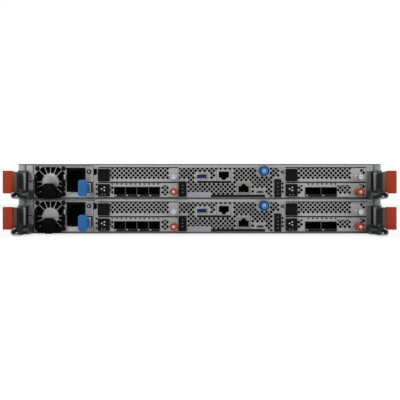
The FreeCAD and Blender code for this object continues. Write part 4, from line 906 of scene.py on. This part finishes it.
def metal_mouth(name, x, z, half_x, half_z, wall, out, depth):
    """A folded metal socket shell, open at the front."""
    shell = bevelled(block_at(name, x, z, half_x, half_z, -out, depth), 0.3)
    cut(shell, block_at("mouth", x, z, half_x - wall, half_z - wall, -out - 1, depth * 0.8))
    return smoothed(mouth_finish(shell, BRIGHT_STEEL, 0.2 - out), 35)


USB_X, USB_Z = 2.7, 27.0
shell = metal_mouth("usb_shell", USB_X, USB_Z, 6.5, 2.9, 0.4, 0.8, 11.0)
both_canisters(shell, "canister", None, ["ports"])
tongue = block("usb_tongue", USB_X - 5.9, USB_X + 5.9, 0.0, 10, USB_Z - 1.9, USB_Z + 2.0)
both_canisters(bevelled(tongue, 0.25), "canister", USB_BLUE)
strips = []
for k in range(4):
    x = USB_X - 3.6 + k * 2.4
    strips.append(block("strip", x - 0.5, x + 0.5, 0.6, 8, USB_Z - 2.08, USB_Z - 1.88))
both_canisters(joined("usb_contacts", strips), "canister", GOLD)

MICRO_X, MICRO_Z = 74.6, 7.7
shell = metal_mouth("micro_shell", MICRO_X, MICRO_Z, 4.2, 1.35, 0.3, 0.6, 6.0)
both_canisters(shell, "canister", None)
tongue = block("micro_tongue", MICRO_X - 2.6, MICRO_X + 2.6, 0.4, 5, MICRO_Z + 0.1, MICRO_Z + 0.6)
both_canisters(bevelled(tongue, 0.12, 1), "canister", BLACK_AND_SHADE)
print("usb sockets ready")

# %% Network jacks

# Each step of the opening: name, half width, lower and upper edge for an upright jack, and depth.
JACK_STEPS = (
    ("opening", 6.3, -5.0, 2.6, 14),
    ("latch_way", 3.2, 2.5, 4.4, 12),
    ("latch_tip", 1.7, 4.3, 5.6, 9),
)


def jack_frame(name, x, z, flip, material):
    """The jack's shell with its opening and latch notch. A flip of -1 is upside down."""
    shell = block_at(name, x, z, 8.6, 6.8, -0.7, 20)
    bevelled(shell, 0.6, 3)
    for label, half_x, low, high, depth in JACK_STEPS:
        z0, z1 = sorted((z + flip * low, z + flip * high))
        cut(shell, block(label, x - half_x, x + half_x, -2, depth, z0, z1))
    return smoothed(mouth_finish(shell, material, 0.0), 35)


def jack_contacts(name, x, z, flip):
    """Eight spring wires slanting back into the jack."""
    wires = []
    for k in range(8):
        place = ((x - 3.57 + k * 1.02) * MM, FACE_Y + 6 * MM, (z - flip * 3.1) * MM + BASE_Z)
        bpy.ops.object.select_all(action="DESELECT")
        slant = (math.pi / 2 + flip * 0.3, 0, 0)
        bpy.ops.mesh.primitive_cylinder_add(vertices=8, radius=0.2 * MM, depth=9 * MM,
                                            location=place, rotation=slant)
        wires.append(added("wire"))
    return joined(name, wires)


JACKS = (("high", 29.9, 27.9, -1, PSU_STEEL), ("low", 54.4, 12.2, 1, PALE))
for name, x, z, flip, material in JACKS:
    both_canisters(jack_frame(f"jack_{name}", x, z, flip, material), "canister", None)
for name, x, z, flip, _ in JACKS:
    both_canisters(jack_contacts(f"{name}_contacts", x, z, flip), "canister", GOLD)
# The brow above the high jack gets the lip's painted highlight.
brow = block("jack_brow", 22.4, 37.6, -1.3, 0.3, 33.3, 34.3)
both_canisters(smoothed(bevelled(brow, 0.25)), "canister", LIP_HIGHLIGHT)
print("jacks ready")

# %% Light blocks, the bare label place and dark strips

LIGHT_HALF_X = 1.3
LIGHT_HALF_Z = 0.9
LEFT_LIGHTS = [(-21.1, z) for z in (15.9, 11.6, 7.3)]
RIGHT_LIGHTS = [(96.5, z) for z in (18.6, 14.2, 9.8, 5.4)]


def light_block(name, x0, x1, z0, z1, lights):
    """A black moulded block with a recessed window for each light."""
    body = block(name, x0, x1, -2.4, 2.0, z0, z1)
    bevelled(body, 0.6, 3)
    for x, z in lights:
        cut(body, block_at("window", x, z, LIGHT_HALF_X, LIGHT_HALF_Z, -3.5, -1.7))
    return smoothed(body, 40)


def flat_mark(name, x0, x1, z0, z1, proud=0.12, back=0.02):
    """A thin plate that stands a little proud of the face."""
    return block(name, x0, x1, -proud, back, z0, z1)


lights = light_block("lights_left", -26.0, -16.2, 1.6, 20.8, LEFT_LIGHTS)
both_canisters(lights, "canister", BLACK)
lights = light_block("lights_right", 92.2, 100.8, 1.3, 23.6, RIGHT_LIGHTS)
both_canisters(lights, "canister", BLACK)
panes = []
for x, z in LEFT_LIGHTS + RIGHT_LIGHTS:
    pane = block_at("pane", x, z, LIGHT_HALF_X - 0.1, LIGHT_HALF_Z - 0.1, -1.9, -1.6)
    panes.append(bevelled(pane, 0.08, 1))
both_canisters(joined("light_panes", panes), "canister", DIM_PIPE)
both_canisters(flat_mark("bare_label", -15.4, 10.3, 1.5, 7.6), "canister", PAPER)
strips = [flat_mark("strip", -3.4, 39.2, 18.6, 21.35, 0.1),
          flat_mark("strip", 14.0, 81.0, 1.2, 4.45, 0.1)]
both_canisters(joined("dark_strips", strips), "canister", DARK_PRINT)
print("lights, label place and strips ready")

# %% The blue lock screw

LOCK_X, LOCK_Z = 79.3, 33.4
LOCK_FRONT = -10.0
LOCK_R = 5.7
knob = disc("lock_knob", LOCK_X, LOCK_Z, LOCK_R, LOCK_FRONT, -0.3, sides=40)
ridged(knob, LOCK_X, LOCK_Z, LOCK_R, 0.7)
pushed(knob, 1.2, -0.6)
pushed(knob, 1.6, 1.2)
both_canisters(smoothed(knob, 30), "lock_screw", BLUE, ["lock_screw"])
core = disc("lock_core", LOCK_X, LOCK_Z, 1.9, LOCK_FRONT + 0.4, LOCK_FRONT + 3)
bevelled(core, 0.3)
crossed(core, LOCK_X, LOCK_Z, 1.3, 0.25, LOCK_FRONT - 1, LOCK_FRONT + 1.1)
both_canisters(smoothed(core, 40), "lock_screw", BRIGHT_STEEL)
ring = disc("panel_ring", 102.4, 32.4, 2.2, -0.8, 0.1)
pushed(ring, 0.6, 0.6)
both_canisters(smoothed(ring, 40), "canister", DARK_EDGE_AND_SHADE)
print("lock screw ready")

# %% [markdown]
# ## The power supply
# Its face is a spoked fan guard on the left, with the black bail hanging in front of it, and the
# mains inlet on the right. These are already dressed or painted, so what is left are the small
# things on the face.

# %% Rivets, inlet pins, the lamp, the ribs beside the tab, and painted shade in a recess and holes

FAN_X, FAN_Z = -184.6, 20.35
RIVETS = ((-16.1, -15.6), (16.1, -15.6), (-16.1, 16.2), (16.1, 16.2))
rivets = []
for dx, dz in RIVETS:
    rivet = disc("rivet", FAN_X + dx, FAN_Z + dz, 2.9, -1.0, 0.3)
    rivets.append(bevelled(rivet, 0.6, 3))
both_canisters(smoothed(joined("guard_rivets", rivets)), "psu", BLACK)
INLET_X, INLET_Z = -153.1, 22.5
PINS = ((2.9, 7.0), (2.9, -7.0), (-1.8, 0.3))
pins = []
for dx, dz in PINS:
    pin = block_at("pin", INLET_X + dx, INLET_Z + dz, 1.2, 0.65, 2.5, 15.8)
    pins.append(bevelled(pin, 0.3))
both_canisters(smoothed(joined("inlet_pins", pins)), "psu", CAGE_STEEL)
LAMP_X, LAMP_Z = -137.0, 32.8
lamp_ring = disc("lamp_ring", LAMP_X, LAMP_Z, 2.8, -0.9, 0.1)
pushed(lamp_ring, 1.1, 0.6)
both_canisters(smoothed(lamp_ring, 40), "psu", BLACK)
supply_lamp = disc("supply_lamp", LAMP_X, LAMP_Z, 1.3, -0.8, 0.1)
both_canisters(smoothed(bevelled(supply_lamp, 0.3), 40), "psu", PSU_STEEL)
# A flat black plate is painted shade in the recess beside the tab, between its ribs.
recess = flat_mark("spring_recess_shade", -139.6, -132.3, 6.9, 20.4, 0.15)
both_canisters(recess, "psu", BLACK_AND_SHADE)
ribs = []
for x0, x1 in ((-139.4, -138.1), (-137.4, -134.4)):
    ribs.append(bevelled(block("rib", x0, x1, -0.7, 0.0, 7.2, 18.9), 0.25))
both_canisters(smoothed(joined("spring_ribs", ribs)), "psu", PSU_STEEL)
# Flat black marks are painted shade for the punched holes and the slot in the strips.
STRIP_HOLES = ((-127.6, 1.5, (17.1, 11.4, 5.4)), (102.7, 1.8, (17.9, 13.0, 8.1)))
marks = []
for x, radius, heights in STRIP_HOLES:
    for z in heights:
        marks.append(disc("mark", x, z, radius, -0.12, 0.02, sides=4))
marks.append(flat_mark("mark", -131.7, -128.4, 28.6, 36.6))
both_canisters(joined("strip_holes", marks), "canister", BLACK_AND_SHADE)
brow = flat_mark("inlet_brow", -165.3, -141.8, 35.6, 37.6)
both_canisters(brow, "psu", BLACK_AND_SHADE)
print("supply details ready")

# %% Painted shade behind latches, in flange gaps, over the supply and on posts; dark floor edges

STRIP_PROUD = 0.06
STRIP_BACK = 0.3
FLOOR_X = 214.4
edge = flat_mark("floor_edge", -FLOOR_X, FLOOR_X, 0.05, 0.95, STRIP_PROUD, STRIP_BACK)
both_canisters(edge, "canister", DARK_EDGE_AND_SHADE)
# Painted shade in the gap between the cover's lip and the supply's top.
edge = flat_mark("supply_top_shade", -204.5, -134.0, 39.9, 40.6, 0.08, STRIP_BACK)
both_canisters(edge, "canister", DARK_EDGE_AND_SHADE)
# Painted shade on the right posts.
post = flat_mark("right_post_shade", 206.2, 212.0, 10.6, 33.4, 0.1)
both_canisters(post, "canister", SHELF_STEEL)
edge = flat_mark("chassis_floor_edge", -223.9, 223.9, -1.2, -0.3, STRIP_PROUD, STRIP_BACK)
seated(edge, "chassis", SHELF_STEEL)
for side in SIDES:
    shades = [side_block(side, "shade", 216.6, 219.9, -1.9, -1.6, 11.0, 30.6),
              side_block(side, "shade", 212.1, 214.2, -1.9, -1.6, 9.4, 31.4)]
    both_canisters(joined(f"latch_shade_{side}", shades), "canister", BLACK_AND_SHADE)
    # Painted shade beside the gap between each end flange and the canister.
    gap_shade = side_block(side, "flange_gap_shade", 214.9, 216.1, -STRIP_PROUD, STRIP_BACK, 0.2, 83.6)
    seated(gap_shade, "chassis", DARK_EDGE_AND_SHADE)
print("dark slots ready")

# %% [markdown]
# ## Drives
# Twelve drives stand at the other end. Each solid is a carrier with its lever, so a bevelled copy
# in dark grey plastic stands for it. Its flat areas aren't made whole, because the bezel is full of
# slots.

# %% Dress the drives

for row in (1, 2, 3):
    for column in (1, 2, 3, 4):
        dressed(f"drive_{row}{column}", CHARCOAL_AND_SHADE, 0.4, whole=False)
print("drives dressed")

# %% [markdown]
# ## Floor, light and camera
# The enclosure stands on a plain white floor under large soft lamps. It is seen square on from its
# input and output side. The camera sees the floor and the world as white, and so do reflections and
# glass. What falls on things as soft light comes from the lamps and from a dimmer world.

# %% White world and floor


def seen_directly(tree):
    """1 for a ray from the camera, in a reflection or through glass, and 0 for all other light."""
    paths = tree.nodes.new("ShaderNodeLightPath")
    seen = paths.outputs["Is Camera Ray"]
    for kind in ("Is Glossy Ray", "Is Transmission Ray"):
        either = tree.nodes.new("ShaderNodeMath")
        either.operation = "MAXIMUM"
        tree.links.new(seen, either.inputs[0])
        tree.links.new(paths.outputs[kind], either.inputs[1])
        seen = either.outputs[0]
    return seen


def shader_node(tree, kind, **inputs):
    """Add a node and set its inputs."""
    made = tree.nodes.new(kind)
    for key, value in inputs.items():
        made.inputs[key].default_value = value
    return made


def blended(tree, share, first, second, out_kind):
    """Send a mix of two shaders to the tree's output."""
    both = tree.nodes.new("ShaderNodeMixShader")
    out = tree.nodes.new(out_kind)
    tree.links.new(share, both.inputs[0])
    tree.links.new(first.outputs[0], both.inputs[1])
    tree.links.new(second.outputs[0], both.inputs[2])
    tree.links.new(both.outputs[0], out.inputs["Surface"])


WHITE = rgba(1.0, 1.0, 1.0)
WORLD_LIGHT = 0.55
FLOOR_GLOW = 0.8         # how much of the floor's white doesn't depend on the lamps


def white_world():
    """White where it is seen, and a dimmer soft light everywhere else."""
    world = bpy.data.worlds.new("studio")
    world.use_nodes = True
    tree = world.node_tree
    tree.nodes.clear()
    soft = shader_node(tree, "ShaderNodeBackground", Color=WHITE, Strength=WORLD_LIGHT)
    white = shader_node(tree, "ShaderNodeBackground", Color=WHITE, Strength=1.0)
    blended(tree, seen_directly(tree), soft, white, "ShaderNodeOutputWorld")
    bpy.context.scene.world = world


def white_floor():
    """Pale paint that keeps the object's shadow and glows white where it is seen."""
    material = bpy.data.materials.new("studio_floor")
    material.use_nodes = True
    tree = material.node_tree
    tree.nodes.clear()
    share = tree.nodes.new("ShaderNodeMath")
    share.operation = "MULTIPLY"
    share.inputs[1].default_value = FLOOR_GLOW
    tree.links.new(seen_directly(tree), share.inputs[0])
    paint = shader_node(tree, "ShaderNodeBsdfDiffuse", Color=rgba(0.86, 0.86, 0.86))
    glow = shader_node(tree, "ShaderNodeEmission", Color=WHITE)
    blended(tree, share.outputs[0], paint, glow, "ShaderNodeOutputMaterial")
    return material


white_world()
bpy.ops.object.select_all(action="DESELECT")
bpy.ops.mesh.primitive_plane_add(size=12.0, location=(0, 0, -0.0015))
floor = added("studio_floor")
floor.data.materials.append(white_floor())
print("world and floor ready")

# %% Lamps and camera

# Each lamp: name, place and aim in metres, size of its square and power.
LAMPS = (
    ("key_lamp", (-0.9, FACE_Y - 1.3, 1.1), (0, FACE_Y, 0.04), 1.0, 16.0),
    ("fill_lamp", (1.2, FACE_Y - 1.2, 0.5), (0, FACE_Y, 0.04), 0.9, 7.0),
    ("top_lamp", (0.0, 0.1, 1.5), (0, 0, 0.05), 1.4, 14.0),
    ("back_lamp", (0.6, 1.5, 0.8), (0, 0.2, 0.04), 1.0, 10.0),
)
CAMERA_AWAY = 0.9
CAMERA_X = 0.0004
CAMERA_Z = 0.0415
LENS = 65.45
SENSOR = 36.0

for name, place, target, size, power in LAMPS:
    data = bpy.data.lights.new(name, "AREA")
    data.shape = "SQUARE"
    data.size = size
    data.energy = power
    lamp = bpy.data.objects.new(name, data)
    bpy.context.scene.collection.objects.link(lamp)
    lamp.location = place
    lamp.rotation_euler = (Vector(target) - Vector(place)).to_track_quat("-Z", "Y").to_euler()

camera_data = bpy.data.cameras.new("camera")
camera_data.sensor_width = SENSOR
camera_data.lens = LENS
camera = bpy.data.objects.new("camera", camera_data)
bpy.context.scene.collection.objects.link(camera)
camera.location = (CAMERA_X, FACE_Y - CAMERA_AWAY, CAMERA_Z)
camera.rotation_euler = (math.pi / 2, 0, 0)
bpy.context.scene.camera = camera
bpy.context.scene.view_settings.view_transform = "Standard"
print("lamps and camera ready")
